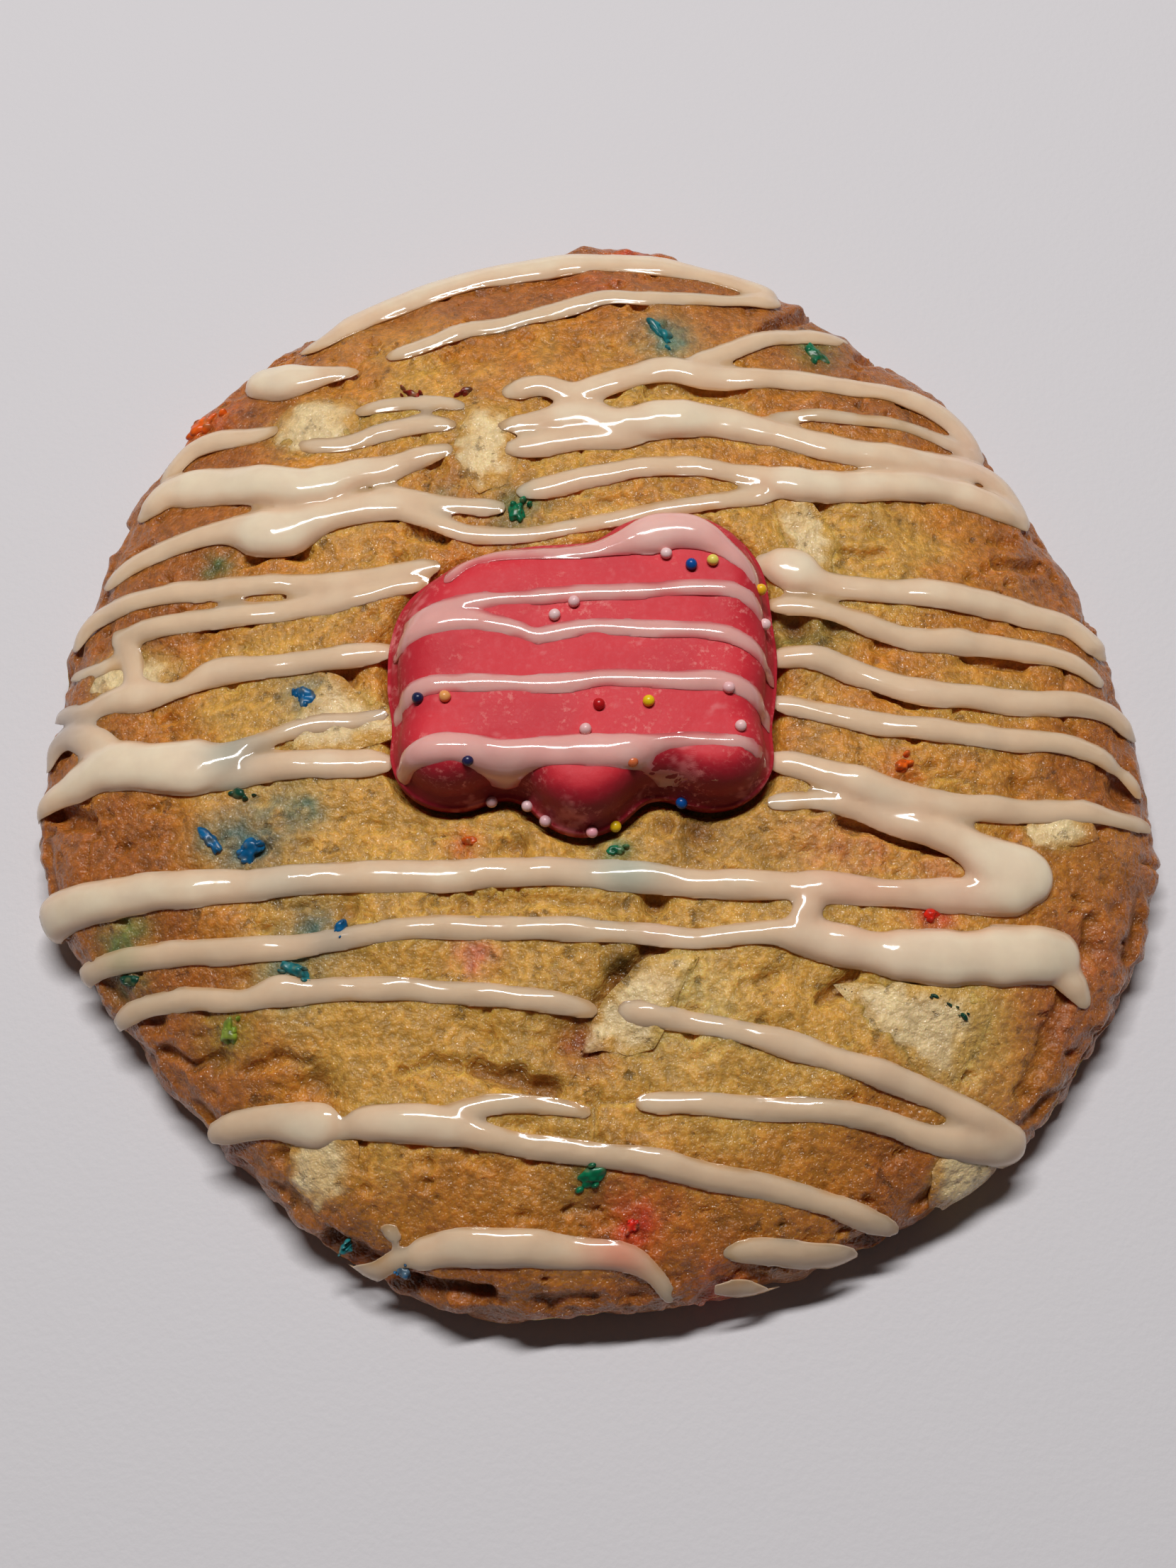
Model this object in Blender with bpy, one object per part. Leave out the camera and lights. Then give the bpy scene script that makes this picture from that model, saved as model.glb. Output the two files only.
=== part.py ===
"""A birthday cake cookie: a thick round of baked dough with white chunks set in it, a frosted
animal biscuit pressed into its middle, and icing drizzled to and fro across both.

Numbers are millimetres, and every mesh is scaled to metres as it is made. The plan is seen
from above with +Y at the back. The base lies flat at z = 0."""

import math

import bmesh
import bpy
from mathutils import Matrix, Vector, noise

MM = 0.001
CLEARANCE = 0.32  # between pieces that lie in or on each other
PLAN_SHIFT = (0.2, -0.85)  # puts the middle of the whole outline on the origin

# The dough
# Radii of the widest line, every 15 degrees from +X
RIM_RADII = (48.4, 46.8, 46.3, 47.7, 48.2, 50.4, 51.8, 50.3, 50.0, 50.0, 49.2, 48.5,
             48.8, 50.3, 48.3, 48.0, 49.1, 50.8, 49.8, 49.4, 49.7, 50.6, 50.9, 50.7)
RIM_HEIGHT = 4.0  # of the widest line
CENTRE_HEIGHT = 15.0
DOME_POWER = 3.2  # how flat the middle is
DOME_ROUNDING = 0.62  # how full the shoulder is
CRAG_DEPTH = 0.25  # of the rim's flaky unevenness
CRAG_SIZE = 7.0
LUMP_HEIGHT = 0.75
LUMP_SIZE = 8.0
DOUGH_RINGS = 13
SIDE_RINGS = ((0.15, 2.3), (0.9, 0.8), (2.3, 0.0))  # how far in from the widest line, height

# Cracks: width, depth, then the points they run through
CRACKS = (
    (1.2, 2.6, ((4.6, -20.6), (2.9, -23.2), (0.4, -26.2))),
    (1.3, 1.8, ((-9.8, -30.8), (-6.6, -32.2), (-3.8, -32.7))),
    (1.4, 1.5, ((42.0, -17.5), (38.9, -24.5), (35.6, -31.8))),
    (0.9, 1.2, ((18.2, -25.2), (20.8, -23.4))),
    (0.9, 1.0, ((22.0, 15.2), (25.0, 15.0))),
    (1.0, 1.0, ((35.6, 15.4), (39.6, 16.2))),
    (1.0, 1.1, ((6.0, 31.2), (13.0, 31.4))),
    (1.0, 1.2, ((-13.5, -17.4), (2.0, -17.6))),
    (1.1, 1.2, ((22.0, -10.6), (29.0, -12.2))),
    (1.0, 1.0, ((-44.5, -8.2), (-47.5, -6.8))),
)
# Hollows: x, y, radius, depth
HOLLOWS = (
    (-1.6, -28.2, 1.9, 2.2), (16.9, 7.7, 1.6, 1.6), (20.4, 7.5, 1.1, 1.1), (-23.0, -31.8, 1.8, 1.3),
    (-7.1, -12.6, 1.2, 1.3), (46.0, -5.0, 1.6, 1.4), (41.7, -19.5, 1.2, 1.0), (4.8, -17.0, 1.1, 1.2),
    (-21.0, -17.8, 1.2, 1.2), (-13.6, 35.8, 0.9, 0.9), (-21.5, 2.8, 1.3, 1.2), (8.5, -11.2, 2.4, 1.3),
)

# White chunks: x, y, length, width, turn in degrees
CHUNKS = (
    (18.3, 16.6, 5.6, 3.2, 115), (-21.9, -0.9, 6.4, 5.0, 0), (26.4, -27.0, 8.4, 6.2, -20),
    (3.6, -24.9, 6.6, 3.2, 48), (-10.0, 25.4, 3.8, 6.8, 5), (-25.6, 28.4, 6.0, 4.6, 15),
    (-22.6, -37.6, 4.0, 4.8, 10), (-40.2, 4.6, 6.4, 4.4, -15), (30.6, -38.0, 5.4, 3.2, 40),
    (39.0, -9.6, 4.6, 3.0, 10),
)
CHUNK_CORNERS = 9
CHUNK_DEPTH = 3.4
CHUNK_LIFT = 0.2
CHUNK_UNEVEN = 0.16

# Icing on the dough. Each stroke is a run of points: x, y, width
DOUGH_STROKES = (
    ((-27.4, 38.6, 1.2), (-25.2, 39.8, 2.0), (-22.9, 41.5, 2.8), (-20.1, 43.3, 3.0), (-16.9, 44.6, 3.2),
     (-13.2, 45.8, 3.2), (-9.5, 46.7, 3.2), (-4.1, 47.2, 3.2), (1.3, 47.6, 3.0), (6.0, 47.4, 2.8),
     (10.0, 46.8, 2.6), (13.2, 46.0, 2.6), (15.6, 45.2, 2.8), (16.4, 44.3, 2.4)),
    ((16.4, 43.8, 2.6), (13.1, 43.1, 1.6), (8.9, 42.8, 1.6), (4.5, 42.2, 1.7), (-0.2, 42.0, 1.9),
     (-4.4, 40.6, 1.8), (-7.9, 39.6, 1.8), (-11.5, 38.8, 2.0), (-14.9, 37.4, 1.8), (-18.7, 36.1, 1.8)),
    ((-30.6, 34.8, 4.0), (-28.6, 34.4, 4.8), (-26.7, 34.3, 3.7), (-24.3, 34.6, 2.0), (-22.3, 34.6, 1.4)),
    ((-39.4, 25.6, 1.8), (-38.4, 27.0, 2.2), (-37.2, 28.2, 2.5), (-35.1, 28.6, 2.5), (-32.3, 28.4, 2.3),
     (-29.4, 28.4, 1.8)),
    ((-21.6, 29.8, 1.3), (-18.7, 30.3, 1.5), (-14.7, 30.2, 1.6), (-12.2, 29.6, 1.3)),
    ((-26.7, 26.4, 1.6), (-22.6, 26.3, 1.8), (-19.2, 27.3, 1.9), (-15.7, 27.8, 2.0), (-13.1, 27.5, 1.6)),
    ((-41.2, 21.6, 2.0), (-40.2, 22.6, 3.0), (-38.8, 23.5, 3.8), (-36.4, 23.5, 4.2), (-33.0, 22.9, 4.3),
     (-29.2, 22.2, 4.2), (-26.6, 21.6, 4.3), (-23.8, 22.0, 3.9), (-21.0, 23.0, 3.2), (-18.4, 23.5, 2.7),
     (-16.0, 24.2, 2.3), (-13.4, 24.9, 1.8)),
    ((-18.9, 20.6, 2.6), (-15.5, 19.8, 1.9), (-12.1, 19.1, 1.5), (-8.7, 18.9, 2.0)),
    ((-43.9, 14.9, 1.8), (-41.4, 16.4, 2.2), (-36.6, 17.4, 2.2), (-32.5, 17.9, 2.8), (-29.6, 17.3, 4.6),
     (-27.0, 17.2, 4.4), (-23.9, 18.4, 3.2), (-20.5, 19.4, 3.0), (-17.7, 19.4, 3.0), (-15.4, 18.2, 2.0),
     (-12.0, 16.6, 1.8), (-8.7, 16.2, 1.6), (-5.5, 16.2, 1.4), (-1.6, 17.1, 1.5), (3.3, 18.1, 1.5),
     (7.7, 19.0, 1.6), (11.7, 19.8, 1.7), (15.6, 20.8, 2.4)),
    ((-6.4, 20.5, 2.2), (-3.1, 21.2, 2.2), (0.2, 22.1, 2.2), (3.9, 22.8, 2.2), (8.9, 23.1, 2.0),
     (13.4, 22.5, 2.2), (16.8, 21.7, 3.4), (21.3, 21.7, 3.4), (26.5, 22.2, 3.2), (31.2, 22.5, 3.2),
     (34.7, 21.9, 3.0), (38.3, 21.0, 2.6)),
    ((-7.7, 24.9, 2.0), (-4.3, 25.5, 2.4), (-0.3, 26.1, 2.4), (3.6, 26.2, 2.6)),
    ((-8.3, 27.3, 1.6), (-4.9, 27.9, 2.6), (-0.9, 28.2, 3.4), (2.2, 27.4, 3.4), (6.2, 28.0, 4.0),
     (10.7, 28.1, 3.6), (14.7, 27.3, 3.0), (19.3, 26.2, 3.0), (24.4, 25.4, 2.8), (29.1, 25.3, 3.0),
     (33.9, 25.6, 2.6), (36.6, 24.6, 2.6), (38.2, 22.4, 2.4), (38.6, 20.6, 2.2)),
    ((-7.8, 31.2, 2.2), (-4.9, 31.8, 2.2), (-2.0, 30.9, 2.6), (1.0, 31.9, 3.0), (3.4, 32.9, 2.8),
     (6.3, 33.7, 3.0), (9.7, 33.1, 3.0), (13.8, 33.3, 2.4), (19.1, 33.5, 2.4), (25.0, 33.4, 2.4),
     (29.8, 32.7, 2.6), (33.2, 30.8, 2.6), (34.9, 28.0, 2.4)),
    ((34.9, 27.7, 2.2), (32.4, 28.3, 1.6), (29.4, 29.0, 1.3), (24.7, 29.1, 1.3), (20.0, 29.3, 1.3),
     (15.9, 29.0, 1.3)),
    ((8.6, 34.2, 2.2), (12.2, 36.3, 2.0), (15.8, 38.3, 2.0), (19.4, 39.6, 1.9), (23.1, 40.0, 1.8)),
    ((-46.6, 9.4, 1.6), (-45.8, 10.9, 2.0), (-43.8, 11.7, 2.2), (-38.9, 12.0, 2.1), (-33.7, 12.2, 2.1),
     (-28.6, 12.2, 2.0), (-25.5, 12.1, 2.1), (-22.5, 11.9, 2.2), (-19.6, 12.4, 2.0), (-16.6, 12.9, 1.8),
     (-14.2, 13.1, 1.8)),
    ((-15.2, 11.7, 1.8), (-17.6, 11.2, 2.0), (-21.5, 10.3, 2.3), (-25.9, 9.7, 2.1), (-31.9, 9.2, 2.0),
     (-36.0, 9.1, 2.0), (-41.2, 8.7, 1.9), (-42.4, 8.4, 1.8)),
    ((-42.5, 9.0, 1.8), (-41.2, 7.2, 2.0), (-40.6, 4.9, 2.0), (-40.0, 2.7, 2.4)),
    ((-46.5, 6.0, 1.3), (-44.1, 5.9, 1.6), (-41.4, 6.8, 1.6)),
    ((-48.0, 2.7, 1.8), (-45.0, 2.0, 1.8), (-42.8, 2.4, 2.4), (-40.4, 2.5, 3.2), (-36.2, 2.8, 2.0),
     (-33.3, 4.0, 2.8), (-29.4, 4.2, 2.2), (-25.5, 4.4, 2.0), (-21.6, 4.7, 2.2), (-17.8, 5.2, 1.8)),
    ((-48.5, -1.9, 1.6), (-47.9, -0.4, 2.2), (-46.1, 0.0, 2.4), (-43.4, -1.5, 2.8), (-41.6, -3.0, 3.0)),
    ((-49.4, -6.2, 1.8), (-47.6, -5.4, 2.6), (-45.1, -4.7, 3.4), (-42.1, -3.8, 4.4), (-37.9, -4.3, 4.8),
     (-33.9, -4.7, 4.8), (-31.7, -4.3, 3.6), (-29.6, -3.0, 1.6), (-26.8, -2.3, 1.4), (-23.6, -1.3, 1.6),
     (-20.3, -1.1, 1.4), (-18.2, -0.7, 1.6)),
    ((-33.9, -5.3, 3.6), (-31.1, -5.6, 2.8), (-28.9, -5.3, 2.6), (-25.6, -5.0, 2.6), (-21.8, -4.9, 2.8),
     (-18.1, -5.1, 2.6)),
    ((-48.2, -16.0, 3.8), (-44.0, -15.7, 3.8), (-38.0, -15.3, 3.3), (-30.0, -15.3, 3.0), (-22.0, -14.9, 2.6),
     (-14.0, -15.0, 2.8), (-5.0, -14.8, 2.4), (3.0, -15.0, 2.7), (8.3, -15.7, 2.6), (15.1, -15.8, 2.6),
     (20.4, -16.0, 2.6), (24.7, -16.3, 2.4), (29.0, -16.1, 3.4), (32.3, -15.5, 4.8), (35.6, -14.4, 6.2)),
    ((14.8, -4.8, 2.2), (18.1, -5.7, 2.4), (21.8, -6.9, 3.0), (25.6, -8.0, 3.0), (29.9, -8.5, 2.4),
     (35.5, -8.4, 2.2), (41.3, -8.0, 2.0), (44.6, -8.2, 1.6), (47.9, -8.0, 1.5)),
    ((14.8, -8.6, 1.8), (18.0, -8.4, 1.6), (21.7, -9.0, 2.2), (24.9, -9.9, 2.6), (28.2, -10.8, 2.8),
     (30.8, -11.9, 3.2), (32.7, -12.9, 4.4), (35.6, -14.1, 6.2)),
    ((-44.8, -21.2, 1.7), (-41.0, -20.6, 2.0), (-34.0, -20.5, 2.2), (-28.0, -20.8, 2.1), (-22.0, -20.3, 1.9),
     (-15.0, -19.4, 1.9), (-4.8, -19.6, 2.0), (3.0, -19.9, 1.8), (8.2, -20.3, 1.8), (13.5, -19.9, 2.0),
     (17.7, -20.3, 3.2), (22.4, -21.1, 3.6), (26.7, -21.5, 4.6), (32.1, -21.2, 5.0), (36.6, -20.8, 5.0),
     (38.6, -20.6, 4.4)),
    ((18.3, -15.9, 2.0), (17.5, -17.1, 2.2), (16.9, -18.7, 2.4), (16.1, -19.9, 2.0)),
    ((38.6, -21.3, 2.6), (40.4, -22.5, 2.2), (41.1, -23.3, 2.0)),
    ((-41.0, -25.2, 1.6), (-37.7, -24.4, 1.9), (-33.7, -24.3, 2.0), (-29.0, -24.9, 1.8), (-26.3, -24.3, 2.6),
     (-23.9, -24.4, 2.0), (-19.7, -24.3, 2.0), (-14.9, -24.5, 1.9), (-9.7, -25.0, 1.9), (-4.5, -25.6, 1.9),
     (-0.6, -26.2, 1.7)),
    ((2.4, -26.4, 2.2), (6.6, -27.0, 1.8), (10.7, -27.8, 1.8), (15.9, -29.1, 2.2), (20.1, -30.3, 2.0),
     (24.8, -31.6, 2.4), (28.6, -32.9, 2.2), (32.0, -34.3, 2.4), (34.2, -35.4, 2.6)),
    ((-31.8, -34.7, 2.4), (-27.1, -34.4, 2.6), (-22.5, -35.0, 3.6), (-20.8, -35.3, 1.8), (-18.6, -35.0, 3.0),
     (-12.2, -35.5, 3.0), (-9.1, -36.5, 2.2), (-2.8, -37.5, 1.9), (3.5, -38.2, 2.0), (8.5, -39.2, 2.2),
     (13.0, -40.1, 2.2), (17.5, -40.9, 2.2), (21.4, -42.2, 2.2), (24.5, -42.8, 1.8)),
    ((-12.2, -34.5, 2.0), (-8.4, -33.8, 1.6), (-4.0, -34.0, 1.5), (-0.9, -34.5, 1.3)),
    ((3.7, -33.6, 1.8), (8.1, -33.7, 2.0), (13.3, -34.0, 2.0), (18.5, -34.2, 2.0), (23.8, -34.9, 2.0),
     (27.6, -35.9, 2.2), (31.5, -36.2, 2.8), (34.5, -35.6, 3.2)),
    ((-21.0, -45.6, 1.2), (-18.5, -45.9, 1.4), (-16.8, -45.2, 1.4), (-17.0, -43.3, 1.6)),
    ((-15.5, -45.3, 2.0), (-12.3, -44.7, 2.8), (-7.2, -44.8, 2.8), (-1.5, -45.1, 2.6), (2.3, -45.5, 2.2),
     (4.5, -46.7, 1.5), (5.8, -48.2, 1.5)),
    ((10.5, -44.8, 1.6), (13.0, -44.6, 2.2), (17.6, -44.6, 2.0), (21.9, -44.3, 1.5)),
    ((9.2, -47.1, 1.2), (11.8, -46.9, 1.4), (13.5, -47.5, 1.4), (15.4, -47.9, 1.1)),
    ((14.4, 13.6, 2.2), (17.0, 13.0, 4.2), (19.8, 11.8, 2.6), (24.2, 11.3, 2.6), (28.2, 11.4, 2.8),
     (32.7, 11.0, 2.8), (37.3, 10.6, 2.6), (41.5, 10.4, 2.6), (44.2, 9.0, 2.8), (44.9, 8.3, 2.2)),
    ((15.2, 9.6, 1.8), (19.1, 9.2, 1.8), (23.0, 8.1, 2.0), (26.8, 6.8, 2.2), (30.7, 6.8, 2.4),
     (34.7, 6.8, 2.2), (39.3, 6.5, 2.2), (42.3, 6.1, 2.2), (44.2, 5.1, 2.0)),
    ((15.1, 4.4, 2.0), (19.0, 4.4, 2.2), (22.7, 3.1, 2.4), (27.1, 1.9, 2.6), (32.1, 1.7, 2.4),
     (37.2, 1.7, 2.4), (42.0, 2.2, 2.2), (45.4, 1.9, 2.4), (47.2, 0.9, 2.4)),
    ((15.2, 0.4, 1.8), (18.8, -0.4, 2.0), (24.2, -1.4, 2.2), (29.7, -1.9, 2.2), (35.3, -1.9, 2.2),
     (40.5, -1.8, 2.0), (43.5, -2.3, 2.0), (45.1, -3.2, 1.8)),
    ((45.6, -3.4, 1.8), (47.0, -3.8, 1.8), (47.8, -5.1, 1.6), (46.6, -6.7, 1.4), (44.6, -8.2, 1.4)),
)
# Icing on the frosted biscuit, in the same form
FROSTING_STROKES = (
    ((-12.6, 9.4, 1.2), (-11.5, 10.7, 1.3), (-9.4, 11.5, 1.3), (-6.3, 11.8, 1.3), (-3.3, 11.9, 1.3),
     (-0.6, 12.2, 1.7), (1.7, 12.7, 2.4), (4.0, 13.4, 3.4), (6.7, 13.9, 3.6), (9.2, 13.4, 3.0),
     (11.0, 12.2, 2.0), (12.6, 10.8, 1.4), (13.6, 9.2, 1.2)),
    ((-15.8, 5.7, 1.8), (-12.7, 6.7, 1.6), (-9.0, 7.4, 1.5), (-5.2, 7.7, 1.5), (-1.4, 8.1, 1.6),
     (2.4, 8.2, 1.5), (6.2, 8.4, 1.5), (10.1, 8.6, 1.5), (12.3, 8.2, 1.5), (13.8, 7.2, 1.3),
     (14.5, 6.0, 1.1)),
    ((-16.8, 3.8, 1.8), (-14.6, 5.0, 2.3), (-10.8, 5.4, 2.1), (-7.0, 4.9, 1.7), (-5.1, 4.3, 1.7),
     (-2.5, 4.7, 1.6), (-0.2, 5.1, 1.6), (2.4, 5.0, 1.7), (6.2, 4.7, 1.6), (10.0, 4.6, 1.6),
     (12.2, 3.9, 1.6), (14.0, 2.8, 1.3), (14.8, 1.6, 1.1)),
    ((-17.4, -2.2, 1.3), (-16.3, -1.0, 1.6), (-14.5, -0.2, 1.7), (-10.7, -0.1, 1.6), (-7.0, -0.1, 1.7),
     (-3.2, -0.1, 1.8), (0.1, 0.3, 1.7), (3.1, 0.3, 1.7), (6.9, 0.1, 1.7), (9.9, 0.2, 1.7),
     (12.1, -0.3, 1.6), (13.9, -1.4, 1.4), (14.8, -2.6, 1.1)),
    ((-17.0, -7.0, 1.5), (-15.1, -6.1, 2.1), (-12.5, -5.8, 2.5), (-9.9, -6.0, 2.7), (-7.3, -6.5, 3.0),
     (-5.1, -6.2, 2.7), (-2.1, -6.0, 2.7), (0.9, -6.1, 2.9), (3.1, -6.0, 2.8), (4.8, -5.2, 1.7),
     (6.8, -4.7, 1.4), (9.8, -4.4, 1.4), (12.4, -4.7, 1.4), (14.4, -6.0, 1.2)),
    ((3.4, -7.0, 1.5), (5.3, -7.8, 1.3), (7.9, -8.3, 1.1), (10.4, -8.5, 1.0), (11.8, -8.8, 0.9)),
)
STATION_STEP = 5.4  # between cross-sections of a stroke
STROKE_SECTION = ((1.0, -0.12), (0.55, 0.9), (-0.55, 0.9), (-1.0, -0.12))  # in half widths and heights
STROKE_ROOT = 0.9  # how deep a stroke reaches into what it lies on
STROKE_RISE = (0.5, 0.25)  # height of the icing: constant, and for each millimetre of width

# Sprinkles baked into the dough: x, y, length, width, turn in degrees
BAKED_SPRINKLES = (
    (-25.0, 1.2, 2.6, 1.6, 100), (-32.6, -11.4, 3.2, 1.2, -50), (-29.2, -12.2, 2.8, 2.2, 20),
    (-30.2, -7.3, 1.4, 1.0, 0), (-21.4, -19.2, 1.6, 1.2, 60), (-25.0, -22.5, 3.0, 1.3, -15),
    (-39.4, -22.2, 1.8, 1.0, 0), (-30.6, -27.3, 2.6, 1.6, 70), (-0.6, -39.5, 2.4, 1.7, 30),
    (1.4, -12.9, 1.8, 1.1, 0), (20.2, 38.0, 3.6, 1.8, -70), (6.2, 37.4, 4.0, 1.3, -55),
    (-7.0, 18.4, 2.2, 1.8, 70), (-36.6, 31.6, 3.6, 1.8, 20), (25.6, -5.2, 1.6, 1.2, 40),
    (28.0, -17.7, 1.6, 1.2, 0), (2.8, -43.0, 1.6, 1.2, 60), (-15.9, -46.3, 1.6, 1.3, 0),
    (-16.6, 31.3, 1.8, 0.9, -40), (-11.9, 31.4, 1.6, 0.8, 20),
)
SPRINKLE_THICKNESS = 1.3

# The frosted biscuit is a union of rounded lobes: x, y, half length, half width, squareness
BISCUIT_LOBES = (
    (-1.3, 2.9, 16.6, 11.6, 2.5),  # body
    (6.2, 9.9, 8.4, 7.5, 2.1),  # head
    (-12.3, -4.9, 5.0, 4.5, 2.0),  # left leg
    (-1.2, -6.2, 5.2, 5.5, 2.0),  # middle leg
    (9.7, -4.8, 5.0, 4.6, 2.0),  # right leg
)
BISCUIT_CENTRE = (-1.0, 1.5)
BISCUIT_BOTTOM = 12.9
BISCUIT_SKIRT = 15.2  # height of the frosting's spread foot
BISCUIT_TOP = 20.4
SKIRT_WIDTH = 0.7
SKIRT_RISE = 0.5
SKIRT_EDGE = 0.3  # strokes stay this far inside the foot
SHOULDER = 3.0  # how far in from the skirt the top is reached
BLEND = 1.6  # sharpness of the blend between lobes, higher is sharper
BISCUIT_RINGS = 11
# Sugar balls on the frosting: x, y
BALLS = (
    (7.9, 10.6), (9.7, 11.0), (13.7, 9.3), (-14.8, -1.2), (-12.6, -1.3), (4.2, -1.8), (0.1, -2.1),
    (-10.7, -6.8), (2.8, -6.8), (7.2, -8.9), (1.5, -11.0), (-0.5, -11.0), (-4.3, -10.4), (-5.9, -9.0),
    (-9.3, -8.6), (-3.6, 6.0), (14.0, 6.3),
)
BALL_RADIUS = 0.65


def catmull(values, place):
    """The value at a place along a smooth curve through values, where place counts from 0 at the first."""
    last = len(values) - 1
    k = min(int(place), last - 1)
    f = place - k
    a, b, c, d = (values[max(0, min(last, k + i))] for i in (-1, 0, 1, 2))
    return b + 0.5 * f * (c - a + f * (2 * a - 5 * b + 4 * c - d + f * (3 * (b - c) + d - a)))


def rim_radius(angle):
    """Plan radius of the dough's widest line, with the small crags of its crust."""
    count = len(RIM_RADII)
    place = angle / math.tau % 1.0 * count
    k = int(place)
    near = [RIM_RADII[(k + i) % count] for i in (-1, 0, 1, 2)]
    smooth = catmull(near, 1 + place - k)
    crag = noise.noise(Vector((math.cos(angle), math.sin(angle), 0.3)) * smooth / CRAG_SIZE)
    return smooth + CRAG_DEPTH * crag


def distance_to_run(x, y, run):
    """Plan distance from a point to a line through the points of run."""
    best = math.inf
    for (ax, ay), (bx, by) in zip(run, run[1:]):
        dx, dy = bx - ax, by - ay
        along = max(0.0, min(1.0, ((x - ax) * dx + (y - ay) * dy) / (dx * dx + dy * dy)))
        best = min(best, math.hypot(x - ax - along * dx, y - ay - along * dy))
    return best


def crag_depth(x, y):
    """How far cracks and hollows drop the dough's surface."""
    depth = 0.0
    for width, most, run in CRACKS:
        depth = max(depth, most * math.exp(-((distance_to_run(x, y, run) / width) ** 2)))
    for hx, hy, radius, most in HOLLOWS:
        depth = max(depth, most * math.exp(-((math.hypot(x - hx, y - hy) / radius) ** 2)))
    return depth


def dough_skin(x, y, cracked=False):
    """The point of the dough's surface over a plan position.

    Past the rim, the plan distance runs down the side."""
    angle = math.atan2(y, x)
    rim = rim_radius(angle)
    radius = math.hypot(x, y)
    if radius > rim:
        down = min(radius - rim, RIM_HEIGHT - 0.8)
        out = rim - 0.06 * down * down
        return Vector((out * math.cos(angle), out * math.sin(angle), RIM_HEIGHT - down))
    share = radius / rim
    z = RIM_HEIGHT + (CENTRE_HEIGHT - RIM_HEIGHT) * (1 - share**DOME_POWER) ** DOME_ROUNDING
    level = min(1.0, (1 - share) / 0.1)
    lumps = noise.noise(Vector((x, y, 0.0)) / LUMP_SIZE)
    lumps += 0.5 * noise.noise(Vector((x, y, 40.0)) * 2 / LUMP_SIZE)
    z += level * LUMP_HEIGHT * lumps
    if cracked:
        z -= level * crag_depth(x, y)
    return Vector((x, y, z))


def lobe_field(x, y):
    """Roughly how far inside the smooth union of the biscuit's lobes a plan position lies."""
    total = 0.0
    for cx, cy, half_x, half_y, square in BISCUIT_LOBES:
        span = (abs((x - cx) / half_x) ** square + abs((y - cy) / half_y) ** square) ** (1 / square)
        total += math.exp(BLEND * (1 - span) * min(half_x, half_y))
    return math.log(total) / BLEND


def biscuit_radius(angle, grow=0.0):
    """Distance from the biscuit's centre to its outline, or to a line that far outside it."""
    inner, outer = 4.0, 24.0
    for _ in range(24):
        middle = (inner + outer) / 2
        x = BISCUIT_CENTRE[0] + middle * math.cos(angle)
        y = BISCUIT_CENTRE[1] + middle * math.sin(angle)
        inside = lobe_field(x, y) > -grow
        inner, outer = (middle, outer) if inside else (inner, middle)
    return inner


def biscuit_skin(x, y):
    """The point of the frosting over a plan position.

    Past the foot, the plan distance runs down the side."""
    dx, dy = x - BISCUIT_CENTRE[0], y - BISCUIT_CENTRE[1]
    angle = math.atan2(dy, dx)
    foot_radius = biscuit_radius(angle) - SKIRT_EDGE
    radius = math.hypot(dx, dy)
    past = max(0.0, radius - foot_radius)
    radius = min(radius, foot_radius) + 0.5 * SKIRT_EDGE * (1 - math.exp(-past))
    px = BISCUIT_CENTRE[0] + radius * math.cos(angle)
    py = BISCUIT_CENTRE[1] + radius * math.sin(angle)
    inward = lobe_field(px, py)
    foot = BISCUIT_SKIRT + SKIRT_RISE * min(1.0, max(0.0, inward) / SKIRT_WIDTH)
    share = max(0.0, min(1.0, (inward - SKIRT_WIDTH) / SHOULDER))
    z = foot + (BISCUIT_TOP - foot) * math.sqrt(1 - (1 - share) ** 2.4)
    z += share * 0.3 * noise.noise(Vector((px, py, 9.0)) / 6.0) - 0.4 * past
    return Vector((px, py, z))


def normal_at(skin, x, y):
    """Outward direction of a surface at a plan position."""
    step = 0.6
    across = skin(x + step, y) - skin(x - step, y)
    along = skin(x, y + step) - skin(x, y - step)
    return across.cross(along).normalized()


def new_object(name, points, faces):
    """A closed mesh object from points in millimetres."""
    mesh = bpy.data.meshes.new(name)
    mesh.from_pydata([Vector(p) * MM for p in points], [], faces)
    obj = bpy.data.objects.new(name, mesh)
    bpy.context.scene.collection.objects.link(obj)
    return obj


def disc(rings, place):
    """Points and triangles of a round cap.

    Ring k holds 6k points, and place(share, angle) gives each point."""
    points = [place(0.0, 0.0)]
    starts = [0]
    for k in range(1, rings + 1):
        starts.append(len(points))
        points += [place(k / rings, math.tau * i / (6 * k)) for i in range(6 * k)]
    faces = [(0, starts[1] + i, starts[1] + (i + 1) % 6) for i in range(6)]
    for k in range(2, rings + 1):
        for sector in range(6):
            for i in range(k):
                outer = [starts[k] + (sector * k + i + j) % (6 * k) for j in (0, 1)]
                inner = [starts[k - 1] + (sector * (k - 1) + i + j) % (6 * (k - 1)) for j in (0, 1)]
                faces.append((inner[0], outer[0], outer[1]))
                if i < k - 1:
                    faces.append((inner[0], outer[1], inner[1]))
    return points, faces


def closed_disc(name, rings, place, sides):
    """A round solid: a domed cap, then rings of points down its side, and a flat base.

    Each ring of the side is a function of an angle."""
    points, faces = disc(rings, place)
    count = 6 * rings
    upper = len(points) - count
    for side in sides:
        lower = len(points)
        points += [side(math.tau * i / count) for i in range(count)]
        for i in range(count):
            j = (i + 1) % count
            faces.append((upper + i, lower + i, lower + j, upper + j))
        upper = lower
    faces.append(tuple(reversed(range(upper, upper + count))))
    return new_object(name, points, faces)


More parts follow.
